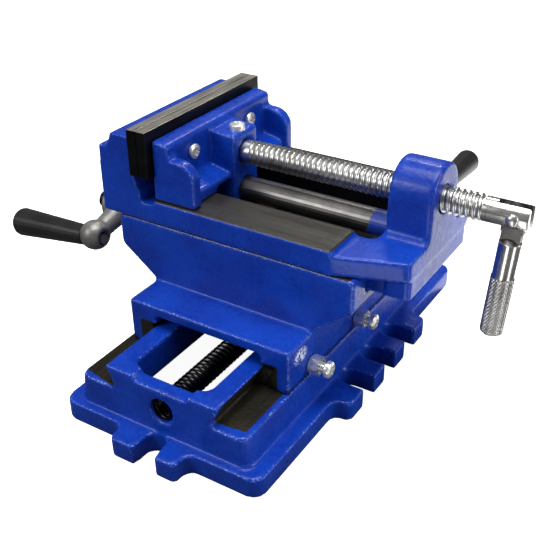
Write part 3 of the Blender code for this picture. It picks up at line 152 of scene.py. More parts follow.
class Finish:
    """A node material that is built up step by step."""

    def __init__(self, name):
        self.material = bpy.data.materials.new(name)
        self.material.use_nodes = True
        self.tree = self.material.node_tree
        self.shader = next(n for n in self.tree.nodes if n.type == "BSDF_PRINCIPLED")
        self.coords = self.tree.nodes.new("ShaderNodeTexCoord").outputs["Object"]

    def link(self, source, target):
        self.tree.links.new(source, target)

    def stretched(self, scale):
        mapping = self.tree.nodes.new("ShaderNodeMapping")
        mapping.inputs["Scale"].default_value = scale
        self.link(self.coords, mapping.inputs["Vector"])
        return mapping.outputs["Vector"]

    def noise(self, scale, detail=4, rough=0.6, vector=None):
        texture = self.tree.nodes.new("ShaderNodeTexNoise")
        texture.inputs["Scale"].default_value = scale
        texture.inputs["Detail"].default_value = detail
        texture.inputs["Roughness"].default_value = rough
        self.link(vector or self.coords, texture.inputs["Vector"])
        return texture.outputs["Fac"]

    def cells(self, scale, vector=None):
        texture = self.tree.nodes.new("ShaderNodeTexVoronoi")
        texture.inputs["Scale"].default_value = scale
        self.link(vector or self.coords, texture.inputs["Vector"])
        return texture.outputs["Distance"]

    def attribute(self, name):
        reader = self.tree.nodes.new("ShaderNodeAttribute")
        reader.attribute_name = name
        return reader.outputs["Fac"]

    def part_of(self, value, low, high, from_value=0.0, to_value=1.0):
        ramp = self.tree.nodes.new("ShaderNodeMapRange")
        ramp.interpolation_type = "SMOOTHSTEP"
        amounts = {"From Min": low, "From Max": high, "To Min": from_value, "To Max": to_value}
        for name, amount in amounts.items():
            ramp.inputs[name].default_value = amount
        self.link(value, ramp.inputs["Value"])
        return ramp.outputs["Result"]

    def sum_of(self, operation, first, second):
        step = self.tree.nodes.new("ShaderNodeMath")
        step.operation = operation
        for socket, value in zip(step.inputs, (first, second)):
            if isinstance(value, (int, float)):
                socket.default_value = value
            else:
                self.link(value, socket)
        return step.outputs["Value"]

    def blend_colour(self, share, first, second):
        mixer = self.tree.nodes.new("ShaderNodeMix")
        mixer.data_type = "RGBA"
        self.link(share, mixer.inputs["Factor"])
        for socket, value in ((mixer.inputs[6], first), (mixer.inputs[7], second)):
            if isinstance(value, tuple):
                socket.default_value = (*value, 1)
            else:
                self.link(value, socket)
        return mixer.outputs[2]

    def facing(self, axis):
        """How far the surface looks along X, Y or Z of the object."""
        split = self.tree.nodes.new("ShaderNodeSeparateXYZ")
        geometry = self.tree.nodes.new("ShaderNodeTexCoord")
        self.link(geometry.outputs["Normal"], split.inputs["Vector"])
        return split.outputs[axis]

    def place(self, axis):
        split = self.tree.nodes.new("ShaderNodeSeparateXYZ")
        self.link(self.coords, split.inputs["Vector"])
        return split.outputs[axis]

    def bump(self, height, distance, strength=1.0, under=None):
        bump = self.tree.nodes.new("ShaderNodeBump")
        bump.inputs["Distance"].default_value = distance
        bump.inputs["Strength"].default_value = strength
        self.link(height, bump.inputs["Height"])
        if under:
            self.link(under, bump.inputs["Normal"])
        return bump.outputs["Normal"]

    def finish(self, colour, roughness, normal, metallic=None, coat=0.0, coat_roughness=0.1, specular=0.5):
        inputs = self.shader.inputs
        self.link(colour, inputs["Base Color"])
        self.link(roughness, inputs["Roughness"])
        self.link(normal, inputs["Normal"])
        if isinstance(metallic, (int, float)):
            inputs["Metallic"].default_value = metallic
        elif metallic:
            self.link(metallic, inputs["Metallic"])
        inputs["Specular IOR Level"].default_value = specular
        inputs["Coat Weight"].default_value = coat
        inputs["Coat Roughness"].default_value = coat_roughness
        return self.material


def enamel_casting(name, deep, bright, ground, grime, lines=(1, 1, 1), flecks=0.45, peel_depth=0.16):
    """Gloss enamel over rough iron, with ground metal where the surface says it is bare."""
    look = Finish(name)
    cloud = look.noise(38, 5)
    mottle = look.noise(420, 3)
    grain = look.noise(1150, 3, 0.55)
    bare = look.attribute("bare")
    ragged = look.noise(210, 5, 0.7)
    bare = look.part_of(look.sum_of("ADD", bare, look.sum_of("MULTIPLY", ragged, 0.5)), 0.62, 0.78)
    edge = look.attribute("edge")
    colour = look.blend_colour(look.part_of(cloud, 0.35, 0.65), deep, bright)
    colour = look.blend_colour(look.part_of(mottle, 0.3, 0.8, 0.0, 0.22), colour, (0.01, 0.07, 0.48))
    # Painted highlight and edge wear: pale blue specks along convex edges, their share set by flecks
    edge_highlight_and_wear_specks = look.sum_of("MULTIPLY", look.part_of(edge, 0.22, 0.7), look.part_of(grain, 0.54, 0.68))
    colour = look.blend_colour(look.sum_of("MULTIPLY", edge_highlight_and_wear_specks, flecks), colour, (0.26, 0.36, 0.78))
    worn = look.sum_of("MULTIPLY", look.part_of(look.attribute("worn"), 0.2, 0.55),
                       look.part_of(look.noise(800, 3, 0.55), 0.46, 0.54))
    colour = look.blend_colour(worn, colour, (0.6, 0.66, 0.82))
    scratch = look.noise(300, 4, 0.7, look.stretched(lines))
    metal = look.blend_colour(look.part_of(scratch, 0.3, 0.7), ground, grime)
    metal = look.blend_colour(look.part_of(cloud, 0.4, 0.75, 0.0, 0.5), metal, (0.085, 0.07, 0.045))
    colour = look.blend_colour(bare, colour, metal)
    # Painted shade: near-black colour over the enamel in the bed slot and along the gap under the saddle
    colour = look.blend_colour(look.attribute("soot"), colour, (0.003, 0.003, 0.005))
    paint_rough = look.part_of(mottle, 0.2, 0.9, 0.24, 0.42)
    metal_rough = look.part_of(scratch, 0.2, 0.8, 0.38, 0.6)
    roughness = look.sum_of("ADD", look.sum_of("MULTIPLY", paint_rough, look.sum_of("SUBTRACT", 1.0, bare)),
                            look.sum_of("MULTIPLY", metal_rough, bare))
    peel = look.bump(look.noise(170, 1), 0.35 * MM, 0.5)
    peel = look.bump(look.noise(520, 1, 0.4), peel_depth * MM, 0.65, peel)
    peel = look.bump(look.noise(1000, 0), 0.06 * MM, 0.6, peel)
    return look.finish(colour, roughness, peel, look.sum_of("MULTIPLY", bare, 0.85), 0.1, 0.16, 0.24)


def metal_finish(name, dark, light, rough_low, rough_high, grain=900, lines=(1, 1, 1), depth=0.05,
                 metallic=1.0, soot=None):
    """Bare metal with clouds, fine grain and a brushed direction."""
    look = Finish(name)
    cloud = look.noise(60, 5)
    fine = look.noise(grain, 4, 0.65, look.stretched(lines))
    speck = look.cells(grain * 0.6)
    colour = look.blend_colour(look.part_of(cloud, 0.3, 0.7), dark, light)
    colour = look.blend_colour(look.part_of(fine, 0.35, 0.75, 0.0, 0.5), colour,
                               tuple(0.55 * a + 0.45 * b for a, b in zip(light, dark)))
    if soot:
        colour = look.blend_colour(look.part_of(look.noise(240, 5, 0.7), 0.5, 0.72, 0.0, 0.8), colour, soot)
    roughness = look.part_of(fine, 0.2, 0.8, rough_low, rough_high)
    normal = look.bump(fine, depth * MM, 0.5)
    normal = look.bump(speck, depth * 0.4 * MM, 0.2, normal)
    return look.finish(colour, roughness, normal, metallic)


def jaw_plate_finish(name):
    """Black oxide on the sides, ground grey-brown on the top."""
    look = Finish(name)
    top = look.part_of(look.facing("Z"), 0.7, 0.9)
    cloud = look.noise(90, 5)
    lines = look.noise(500, 4, 0.65, look.stretched((1, 0.08, 1)))
    black = look.blend_colour(look.part_of(cloud, 0.3, 0.7), (0.001, 0.001, 0.0015), (0.003, 0.003, 0.004))
    ground = look.blend_colour(look.part_of(lines, 0.3, 0.7), (0.18, 0.17, 0.15), (0.34, 0.32, 0.28))
    colour = look.blend_colour(top, black, ground)
    roughness = look.part_of(lines, 0.2, 0.8, 0.3, 0.5)
    normal = look.bump(look.noise(1100, 3), 0.04 * MM, 0.6)
    normal = look.bump(lines, 0.03 * MM, 0.5, normal)
    return look.finish(colour, roughness, normal, look.part_of(top, 0.0, 1.0, 0.0, 0.6), specular=0.12)


def grip_finish(name):
    """Satin black moulded plastic."""
    look = Finish(name)
    cloud = look.noise(70, 4)
    fine = look.noise(1300, 3)
    colour = look.blend_colour(look.part_of(cloud, 0.3, 0.7), (0.003, 0.003, 0.003), (0.01, 0.01, 0.01))
    normal = look.bump(fine, 0.05 * MM, 0.5)
    normal = look.bump(cloud, 0.2 * MM, 0.4, normal)
    return look.finish(colour, look.part_of(fine, 0.2, 0.8, 0.3, 0.4), normal, 0.0, 0.1, 0.6)


def rod_finish(name, spray_from):
    """Dark polished bar, with enamel sprayed over its end."""
    look = Finish(name)
    fine = look.noise(700, 4, 0.6, look.stretched((0.05, 1, 1)))
    cloud = look.noise(55, 5)
    steel = look.blend_colour(look.part_of(cloud, 0.3, 0.7), (0.12, 0.115, 0.11), (0.23, 0.22, 0.21))
    ragged = look.sum_of("MULTIPLY", look.noise(260, 4), 3 * MM)
    low = look.sum_of("MULTIPLY", look.facing("Z"), 1.5 * MM)
    along = look.sum_of("SUBTRACT", look.sum_of("ADD", look.place("X"), ragged), low)
    spray = look.part_of(along, spray_from, spray_from + 0.8 * MM)
    colour = look.blend_colour(spray, steel, (0.008, 0.04, 0.33))
    roughness = look.part_of(fine, 0.2, 0.8, 0.34, 0.48)
    normal = look.bump(fine, 0.01 * MM, 0.5)
    normal = look.bump(cloud, 0.05 * MM, 0.3, normal)
    return look.finish(colour, roughness, normal, look.sum_of("SUBTRACT", 1.0, spray))


DEEP_BLUE = (0.002, 0.027, 0.3)
BRIGHT_BLUE = (0.003, 0.044, 0.4)
enamel_base = enamel_casting("base_enamel", DEEP_BLUE, BRIGHT_BLUE, (0.05, 0.046, 0.034),
                             (0.018, 0.016, 0.011), (1, 0.06, 1), 0.85, 0.26)
enamel_upper = enamel_casting("upper_enamel", DEEP_BLUE, BRIGHT_BLUE, (0.085, 0.082, 0.075),
                              (0.04, 0.038, 0.034), (0.06, 1, 1))
zinc = metal_finish("bright_zinc", (0.66, 0.67, 0.66), (0.86, 0.86, 0.83), 0.2, 0.3, 500, depth=0.0015,
                    metallic=0.7)
screw_steel = metal_finish("jaw_screw_steel", (0.4, 0.4, 0.39), (0.72, 0.72, 0.7), 0.26, 0.38, 600,
                           depth=0.002, soot=(0.12, 0.12, 0.11))
handle_steel = metal_finish("handle_steel", (0.48, 0.47, 0.45), (0.72, 0.71, 0.69), 0.18, 0.27, 700,
                            (1, 1, 0.1), 0.003)
tongue_steel = metal_finish("tongue_steel", (0.05, 0.047, 0.045), (0.16, 0.15, 0.145), 0.25, 0.45, 900,
                            depth=0.06)
oiled_steel = metal_finish("oiled_black_steel", (0.012, 0.012, 0.013), (0.05, 0.05, 0.05), 0.16, 0.3, 900,
                           depth=0.01)
gib_steel = metal_finish("gib_steel", (0.1, 0.1, 0.1), (0.24, 0.23, 0.22), 0.3, 0.5, 800, depth=0.02)
grey_iron = metal_finish("satin_grey_iron", (0.16, 0.155, 0.145), (0.34, 0.33, 0.31), 0.36, 0.55, 950,
                         depth=0.05, metallic=0.6)
# Bronze coloured near black as painted shade, for the cross nut seen deep in the bed slot
bronze = metal_finish("nut_bronze", (0.03, 0.018, 0.008), (0.1, 0.06, 0.026), 0.3, 0.5, 800, depth=0.06)
nut_zinc = metal_finish("locknut_zinc", (0.75, 0.75, 0.72), (0.95, 0.95, 0.92), 0.18, 0.3, 500, depth=0.0015,
                        metallic=0.8, soot=(0.05, 0.05, 0.05))
rivet_steel = metal_finish("rivet_steel", (0.4, 0.39, 0.38), (0.66, 0.65, 0.63), 0.26, 0.36, 600, depth=0.003)
black_plastic = grip_finish("black_grip_plastic")
plate_black = jaw_plate_finish("jaw_plate_black")
rod_steel = rod_finish("guide_rod_steel", 55 * MM)


# Meshes

def place_mesh(name, vertices, faces, finish, body, slot, smooth_angle=35, replaced=()):
    """Makes a riding piece from vertices and faces, shaded smooth except over sharp edges."""
    mesh = bpy.data.meshes.new(name)
    mesh.from_pydata([tuple(v) for v in vertices], [], faces)
    bm = bmesh.new()
    bm.from_mesh(mesh)
    bmesh.ops.remove_doubles(bm, verts=bm.verts, dist=0.002 * MM)
    bmesh.ops.dissolve_degenerate(bm, edges=bm.edges, dist=0.001 * MM)
    bmesh.ops.recalc_face_normals(bm, faces=bm.faces)
    bm.to_mesh(mesh)
    bm.free()
    piece = bpy.data.objects.new(name, mesh)
    bpy.context.scene.collection.objects.link(piece)
    return dress(piece, finish, body, smooth_angle, replaced)


def dress(piece, finish, body, smooth_angle, replaced=()):
    mesh = piece.data
    mesh.materials.clear()
    mesh.materials.append(finish)
    mesh.polygons.foreach_set("use_smooth", [True] * len(mesh.polygons))
    if smooth_angle < 180:
        mesh.set_sharp_from_angle(angle=math.radians(smooth_angle))
    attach(piece, body)
    if replaced:
        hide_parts(*replaced)
    return piece


def turned_frame(start, out):
    """Matrix that takes Z of a turned piece to its axis."""
    out = Vector(out).normalized()
    return Matrix.Translation(Vector(start)) @ out.to_track_quat("Z", "Y").to_matrix().to_4x4()


def ring_faces(rows, around):
    """Faces of a closed tube of vertex rings, with both ends capped."""
    faces = []
    for row in range(rows - 1):
        for step in range(around):
            after = (step + 1) % around
            faces.append((row * around + step, row * around + after,
                          (row + 1) * around + after, (row + 1) * around + step))
    faces.append(tuple(range(around))[::-1])
    faces.append(tuple((rows - 1) * around + step for step in range(around)))
    return faces


def lathe(profile, start, out, segments=ROUND):
    """Vertices and faces of a closed turned solid from (along, radius) pairs."""
    place = turned_frame(start, out)
    vertices = []
    for along, radius in profile:
        for step in range(segments):
            turn = math.tau * step / segments
            vertices.append(place @ Vector((radius * math.cos(turn), radius * math.sin(turn), along)))
    return vertices, ring_faces(len(profile), segments)


def thread(start, out, length, pitch, crest, root, segments=48, rows=8, runout=1.0):
    """Vertices and faces of a screw thread whose ridge winds along a sheared grid."""
    place = turned_frame(start, out)
    turns = math.ceil(length / pitch) + 2
    vertices = []
    total_rows = turns * rows
    shape = [0, 0, 0.12, 0.75, 1, 1, 0.75, 0.12]
    for row in range(total_rows + 1):
        for step in range(segments):
            along = (row / rows - 1 + step / segments) * pitch
            kept = min(max(along, 0), length)
            fade = min(1, kept / (runout * pitch), (length - kept) / (runout * pitch))
            ridge = shape[row % rows]
            radius = root + (crest - root) * ridge * (0.25 + 0.75 * fade)
            turn = math.tau * step / segments
            vertices.append(place @ Vector((radius * math.cos(turn), radius * math.sin(turn), kept)))
    faces = []
    for row in range(total_rows):
        for step in range(segments - 1):
            low = row * segments + step
            faces.append((low, low + 1, low + segments + 1, low + segments))
    for row in range(total_rows - rows):
        low = row * segments + segments - 1
        after = (row + rows) * segments
        faces.append((low, after, after + segments, low + segments))
    return vertices, faces


def joined(*shapes):
    """Puts several vertex and face lists into one."""
    vertices = []
    faces = []
    for some_vertices, some_faces in shapes:
        shift = len(vertices)
        vertices += list(some_vertices)
        faces += [tuple(index + shift for index in face) for face in some_faces]
    return vertices, faces


def copy_of(node, name):
    """A free copy of a CAD node's mesh."""
    mesh = frame["nodes"][node].data.copy()
    mesh.name = name
    piece = bpy.data.objects.new(name, mesh)
    bpy.context.scene.collection.objects.link(piece)
    return piece


def mesh_arrays(mesh):
    points = np.empty(len(mesh.vertices) * 3)
    mesh.vertices.foreach_get("co", points)
    ends = np.empty(len(mesh.edges) * 2, dtype=np.int64)
    mesh.edges.foreach_get("vertices", ends)
    return points.reshape(-1, 3), ends.reshape(-1, 2)


def vertex_normals(mesh):
    normals = np.empty(len(mesh.vertices) * 3)
    mesh.vertices.foreach_get("normal", normals)
    return normals.reshape(-1, 3)


def softened(points, edges, rounds, share):
    """Moves each vertex toward the mean of its neighbours, by its own share."""
    count = np.zeros(len(points))
    np.add.at(count, edges[:, 0], 1)
    np.add.at(count, edges[:, 1], 1)
    count = np.maximum(count, 1)[:, None]
    for _ in range(rounds):
        total = np.zeros_like(points)
        for axis in range(3):
            total[:, axis] = (np.bincount(edges[:, 0], points[edges[:, 1], axis], len(points))
                              + np.bincount(edges[:, 1], points[edges[:, 0], axis], len(points)))
        points = points + share[:, None] * (total / count - points)
    return points


def spread_mark(mark, edges, rounds):
    """Turns a yes or no mark on the vertices into a soft one."""
    values = mark.astype(float)[:, None].repeat(3, axis=1)
    return softened(values, edges, rounds, np.full(len(mark), 0.5))[:, 0]


def near_plane(value, plane, room=0.35 * MM):
    return np.abs(value - plane) < room


def within(value, low, high):
    return (value > low) & (value < high)


def cast_piece(node, body, finish, machined_of, grain, rounds, ripple=CAST_RIPPLE, painted_shade_of=None,
               wear_of=None, painted_of=None):
    """Redraws a CAD casting with soft cast edges and marks its bare faces and its edges."""
    piece = copy_of(node, node + "_cast")
    remesh = piece.modifiers.new("even grain", "REMESH")
    remesh.mode = "VOXEL"
    remesh.voxel_size = grain
    mesh = bpy.data.meshes.new_from_object(piece.evaluated_get(bpy.context.evaluated_depsgraph_get()))
    piece.modifiers.clear()
    piece.data = mesh
    points, edges = mesh_arrays(mesh)
    normals = vertex_normals(mesh)
    machined = machined_of(points, normals)
    blurred = spread_mark(machined, edges, 2)
    bare = spread_mark(machined & ~(painted_of or nowhere)(points, normals), edges, 2)
    share = 0.5 * (1 - 0.85 * np.clip(blurred * 1.3, 0, 1))
    soft = softened(points, edges, rounds, share)
    waves = sum(np.sin(soft @ rng.normal(0, 260, 3) + rng.uniform(0, math.tau)) for _ in range(9)) / 3
    soft = soft + normals * (waves * ripple * (1 - blurred))[:, None] * 0.5
    far = softened(soft, edges, EDGE_READING, np.full(len(points), 0.5))
    mesh.vertices.foreach_set("co", soft.ravel())
    mesh.update()
    edge = np.einsum("ij,ij->i", soft - far, vertex_normals(mesh)) / grain
    # Painted shade: where the castings get near-black colour for their shaded slot and gap
    soot = spread_mark((painted_shade_of or nowhere)(points, normals), edges, 3)
    worn = (wear_of or nowhere)(points, normals)
    for name, values in (("bare", bare), ("edge", np.clip(edge * 1.6, 0, 1)), ("soot", soot), ("worn", worn)):
        layer = mesh.attributes.new(name, "FLOAT", "POINT")
        layer.data.foreach_set("value", values.astype(np.float32))
    return dress(piece, finish, body, 180, (node,))


# Castings

def base_machined(points, normals):
    """Ground ledges and dovetail flanks over the whole length, so the saddle slides clear of them."""
    x, y, z = points.T
    ledge = near_plane(z, LEDGE_TOP, 0.5 * MM) & (normals[:, 2] > 0.7) & (np.abs(x) > 27 * MM)
    flank = within(z, LEDGE_TOP, RAIL_TOP - 1 * MM) & (normals[:, 2] < -0.2)
    root = within(z, LEDGE_TOP - 1 * MM, LEDGE_TOP + 2.5 * MM) & within(np.abs(x), 26 * MM, 31 * MM)
    return (ledge | flank | root) & (np.abs(y) < 106.3 * MM)


def base_painted(points, normals):
    """Where enamel runs over the ground faces, further at the left ledge's outer corner."""
    x, y, z = points.T
    near_end = np.where(x < 0, -106 * MM - (x + 30 * MM) * 0.2, -102.6 * MM + (x - 28 * MM) * 0.1)
    return (y < near_end) | (y > 103 * MM) | (x > 44.4 * MM)


def saddle_gap_painted_shade(points, normals):
    """Painted shade: a near-black band along the gap over the base's ledge."""
    x, y, z = points.T
    return (z < SADDLE_BOTTOM + 1.5 * MM) & (np.abs(x) > 44 * MM)


def saddle_wear(points, normals):
    """Patch by the near gib screw where the paint is rubbed to white flecks."""
    near = np.linalg.norm((points - WEAR_PLACE) / WEAR_REACH, axis=1)
    return np.exp(-near ** 2)


def saddle_machined(points, normals):
    x, y, z = points.T
    under = near_plane(z, SADDLE_BOTTOM, 0.5 * MM) & (normals[:, 2] < -0.7)
    lower_way = (z < 41.5 * MM) & (np.abs(x) < 41 * MM)
    top = near_plane(z, TABLE_TOP, 0.5 * MM) & (normals[:, 2] > 0.7)
    upper_way = (z > 72.8 * MM) & within(y, -36 * MM, 42 * MM)
    broken_edge = (z < 31.5 * MM) & within(np.abs(x), 25 * MM, 34 * MM)
    ends = (z > 72 * MM) & (np.abs(x) > 65.5 * MM)
    return (under | lower_way | top | upper_way) & ~broken_edge & ~ends


def body_machined(points, normals):
    x, y, z = points.T
    ways = near_plane(z, BED_TOP, 0.45 * MM) & (normals[:, 2] > 0.7) & within(x, -46 * MM, 56 * MM)
    under = near_plane(z, BODY_BOTTOM, 0.45 * MM) & (normals[:, 2] < -0.7)
    rail = (z < BODY_BOTTOM + 0.4 * MM) & (np.abs(y) < 35 * MM)
    return ways | under | rail


def body_painted(points, normals):
    """The ends of the slide under the body are enamelled with the rest."""
    x, y, z = points.T
    return (z < BODY_BOTTOM + 0.4 * MM) & ((np.abs(normals[:, 0]) > 0.6) | (x > SLIDE_PAINT_FROM))


def bed_slot_painted_shade(points, normals):
    """Painted shade: the slot between the ways is coloured near black for the deep shade inside it."""
    x, y, z = points.T
    return (np.abs(y) < 23.2 * MM) & within(x, -50 * MM, 58 * MM) & within(z, 76 * MM, 97 * MM)


def jaw_machined(points, normals):
    return near_plane(points[:, 2], JAW_FOOT, 0.45 * MM) & (normals[:, 2] < -0.7)


def nowhere(points, normals):
    return np.zeros(len(points), dtype=bool)


def castings():
    cast_piece("base_casting", "base", enamel_base, base_machined, CASTING_GRAIN,
               EDGE_SOFTENING, painted_of=base_painted)
    cast_piece("saddle_casting", "saddle", enamel_base, saddle_machined, CASTING_GRAIN,
               EDGE_SOFTENING, painted_shade_of=saddle_gap_painted_shade, wear_of=saddle_wear)
    cast_piece("vise_body", "vise_body", enamel_upper, body_machined, CASTING_GRAIN,
               EDGE_SOFTENING, painted_shade_of=bed_slot_painted_shade, painted_of=body_painted)
    cast_piece("moving_jaw", "moving_jaw", enamel_upper, jaw_machined, CASTING_GRAIN * 0.85,
               EDGE_SOFTENING)
    cast_piece("base_crank", "base_screw", grey_iron, nowhere, CRANK_GRAIN, CRANK_SOFTENING,
               0.03 * MM)
    cast_piece("cross_crank", "cross_screw", grey_iron, nowhere, CRANK_GRAIN, CRANK_SOFTENING,
               0.03 * MM)


# Screws

def lead_screw(prefix, body, axis, height):
    """Threads the length between the CAD screw's ends and keeps its plain journal."""
    low, high = node_place(prefix + "_lead_screw")
    index = "XYZ".index(axis)
    hub_low, hub_high = node_place(prefix + "_thrust_collar")
    if prefix == "base":
        thread_low, thread_high = low[index], hub_low[index] - 30 * MM
    else:
        thread_low, thread_high = hub_high[index] + 30 * MM, high[index]
    out = Vector([0, 0, 0])
    out[index] = 1
    base = out.cross(Vector((0, 0, 0)))
    base[index] = thread_low
    base.z = height
    shape = thread(base, out, thread_high - thread_low, SCREW_PITCH, SCREW_CREST, SCREW_ROOT)
    journal_low, journal_high = ((thread_high, high[index]) if prefix == "base" else (low[index], thread_low))
    start = base.copy()
    start[index] = journal_low + 0.02 * MM
    plain = 4.95 * MM
    journal = lathe([(0, plain), (journal_high - journal_low - 0.6 * MM, plain),
                     (journal_high - journal_low - 0.04 * MM, plain - 0.5 * MM)], start, out)
    vertices, faces = joined(shape, journal)
    place_mesh(prefix + "_threaded_screw", vertices, faces, oiled_steel, body, "black_steel",
               replaced=(prefix + "_lead_screw",))


def jaw_screw():
    """Bright thread behind a plain ring, with the CAD screw's head and nose kept as they are."""
    low, high = node_place("jaw_screw")
    copy = copy_of("jaw_screw", "jaw_screw_ends")
    bm = bmesh.new()
    bm.from_mesh(copy.data)
    nose_end = -19.7 * MM
    ring_end = nose_end + JAW_COLLAR_LENGTH
    head_start = 108.6 * MM
    ends = []
    for cut_x, keep_low in ((nose_end, True), (head_start, False)):
        half = bm.copy()
        result = bmesh.ops.bisect_plane(half, geom=half.verts[:] + half.edges[:] + half.faces[:],
                                        plane_co=(cut_x, 0, 0), plane_no=(1, 0, 0),
                                        clear_outer=keep_low, clear_inner=not keep_low)
        rim = [e for e in result["geom_cut"] if isinstance(e, bmesh.types.BMEdge)]
        bmesh.ops.holes_fill(half, edges=rim)
        index = {v: i for i, v in enumerate(half.verts)}
        corners = [v.co.copy() for v in half.verts]
        ends.append((corners, [tuple(index[v] for v in f.verts) for f in half.faces]))
        half.free()
    bm.free()
    bpy.data.objects.remove(copy)
    start = (ring_end, 0, JAW_SCREW_HEIGHT)
    ridges = thread(start, (1, 0, 0), head_start - ring_end, JAW_PITCH, JAW_CREST, JAW_ROOT, 64, 8, 0.5)
    ring = lathe([(0, 5.7 * MM), (0.3 * MM, 6 * MM), (JAW_COLLAR_LENGTH + 0.3 * MM, 6 * MM)],
                 (nose_end, 0, JAW_SCREW_HEIGHT), (1, 0, 0))
    nose, head = ends
    axis = Vector((0, 0, JAW_SCREW_HEIGHT))
    for point in head[0]:
        off = Vector((0, point.y, point.z)) - axis
        if off.length > JAW_HEAD_RADIUS:
            point.yz = (off * (JAW_HEAD_RADIUS / off.length) + axis).yz
    vertices, faces = joined(ridges, ring, nose)
    place_mesh("jaw_thread", vertices, faces, screw_steel, "jaw_screw", "bright_steel",
               replaced=("jaw_screw",))
    place_mesh("jaw_screw_head", *head, handle_steel, "jaw_screw", "bright_steel")


def handle_pin():
    """Rivet with a low dome on each side of the screw's head."""
    low, high = node_place("handle_pin")
    length = high.y - low.y
    radius = (high.x - low.x) / 2 + 0.3 * MM
    rise = 1.8 * MM
    dome = [(rise * (1 - math.cos(math.radians(turn))), radius * math.sin(math.radians(turn)))
            for turn in (8, 25, 42, 60, 75, 90)]
    inner = 2.4 * MM
    far_dome = [(length - along, r) for along, r in reversed(dome)]
    profile = dome + [(rise, inner), (length - rise, inner)] + far_dome
    vertices, faces = lathe(profile, (HANDLE_PIN_X, low.y, JAW_SCREW_HEIGHT), (0, 1, 0), 48)
    place_mesh("handle_rivet", vertices, faces, rivet_steel, frame_body("handle_pin"), "bright_steel",
               replaced=("handle_pin",))


def swing_handle():
    """Keeps the dark flat tongue of the CAD handle and draws the bright bar with its crossed knurl."""
    place = (Matrix.Translation(Vector((HANDLE_PIN_X, 0, JAW_SCREW_HEIGHT)))
             @ Matrix.Rotation(math.pi + HANDLE_TILT, 4, "Y"))
    bm = bmesh.new()
    bm.from_mesh(frame["nodes"]["swing_handle"].data)
    out = place.to_3x3() @ Vector((0, 0, 1))
    cut_at = place @ Vector((0, 0, TONGUE_END))
    result = bmesh.ops.bisect_plane(bm, geom=bm.verts[:] + bm.edges[:] + bm.faces[:], plane_co=cut_at,
                                    plane_no=out, clear_outer=True)
    bmesh.ops.holes_fill(bm, edges=[e for e in result["geom_cut"] if isinstance(e, bmesh.types.BMEdge)])
    index = {v: i for i, v in enumerate(bm.verts)}
    tongue = ([v.co.copy() for v in bm.verts], [tuple(index[v] for v in f.verts) for f in bm.faces])
    bm.free()
    place_mesh("handle_tongue", *tongue, tongue_steel, "jaw_handle", "bright_steel", 30, ("swing_handle",))

    knurl_start = HANDLE_LENGTH - KNURL_LENGTH
    rows = [(TONGUE_END - 0.1 * MM, HANDLE_RADIUS - 0.4 * MM, 0), (TONGUE_END + 0.3 * MM, HANDLE_RADIUS, 0),
            (TONGUE_END + 0.5 * MM, HANDLE_RADIUS, 0), (knurl_start - 0.4 * MM, HANDLE_RADIUS, 0),
            (knurl_start - 0.2 * MM, HANDLE_RADIUS, 0)]
    for row in range(KNURL_ROWS + 1):
        s = KNURL_LENGTH * row / KNURL_ROWS
        fade = max(0, min(1, s / (1.6 * MM), (KNURL_LENGTH - 0.9 * MM - s) / (0.5 * MM)))
        cone = min(1, s / (1 * MM))
        chamfer = max(0, s - (KNURL_LENGTH - 0.9 * MM)) * 0.9
        radius = HANDLE_RADIUS + (HANDLE_END_RADIUS - HANDLE_RADIUS) * cone - chamfer
        rows.append((knurl_start + s, radius, fade))
    around = KNURL_STARTS * 6
    vertices = []
    for s, radius, fade in rows:
        lead = s * math.tan(KNURL_ANGLE) / HANDLE_END_RADIUS
        for step in range(around):
            turn = math.tau * step / around
            first = abs((((turn + lead) * KNURL_STARTS / math.tau) % 1) * 2 - 1)
            second = abs((((turn - lead) * KNURL_STARTS / math.tau) % 1) * 2 - 1)
            groove = max(0, 1 - 2.2 * min(first, second))
            r = radius - KNURL_DEPTH * groove * fade
            vertices.append(place @ Vector((r * math.cos(turn), r * math.sin(turn), s)))
    place_mesh("swing_handle_bar", vertices, ring_faces(len(rows), around), handle_steel, "jaw_handle",
               "bright_steel", 38)


# Small fasteners

def cross_recess_head(start, out, radius, height, depth, flat=0.5):
    """A pan head with its driver recess drawn into the top as a height field on a polar grid."""
    place = turned_frame(start, out)
    around, rings = 96, 26
    arm = radius * 0.56
    vertices = []
    for ring in range(rings + 1):
        r = radius * ring / rings
        for step in range(around):
            turn = math.tau * step / around
            x, y = r * math.cos(turn), r * math.sin(turn)
            share = r / radius
            dome = height * (flat + (1 - flat) * math.sqrt(max(0, 1 - share ** 2.6)))
            reach = max(abs(x), abs(y))
            side = min(abs(x), abs(y))
            across = min(1, max(0, (CROSS_ARM - side) / CROSS_WALL))
            inside = across * min(1, max(0, (arm - reach) / CROSS_WALL))
            vertices.append(place @ Vector((x, y, dome - depth * inside)))
    for step in range(around):
        turn = math.tau * step / around
        vertices.append(place @ Vector((radius * math.cos(turn), radius * math.sin(turn), 0)))
    return vertices, ring_faces(rings + 2, around)


def hex_nut(start, out, radius, length, turn):
    """A hexagon nut with chamfered corners and a dark bore rim."""
    place = turned_frame(start, out) @ Matrix.Rotation(turn, 4, "Z")
    around = 72
    rows = [(0, 0.93), (0.35 * MM, 1.0), (length - 0.35 * MM, 1.0), (length, 0.93), (length, 0.66),
            (length - 0.5 * MM, 0.57)]
    vertices = []
    for along, share in rows:
        for step in range(around):
            angle = math.tau * step / around
            local = (angle + math.pi / 6) % (math.pi / 3) - math.pi / 6
            hexagon = radius * math.cos(math.pi / 6) / math.cos(local)
            r = min(hexagon, radius * share) if share > 0.9 else radius * share
            vertices.append(place @ Vector((r * math.cos(angle), r * math.sin(angle), along)))
    return vertices, ring_faces(len(rows), around)


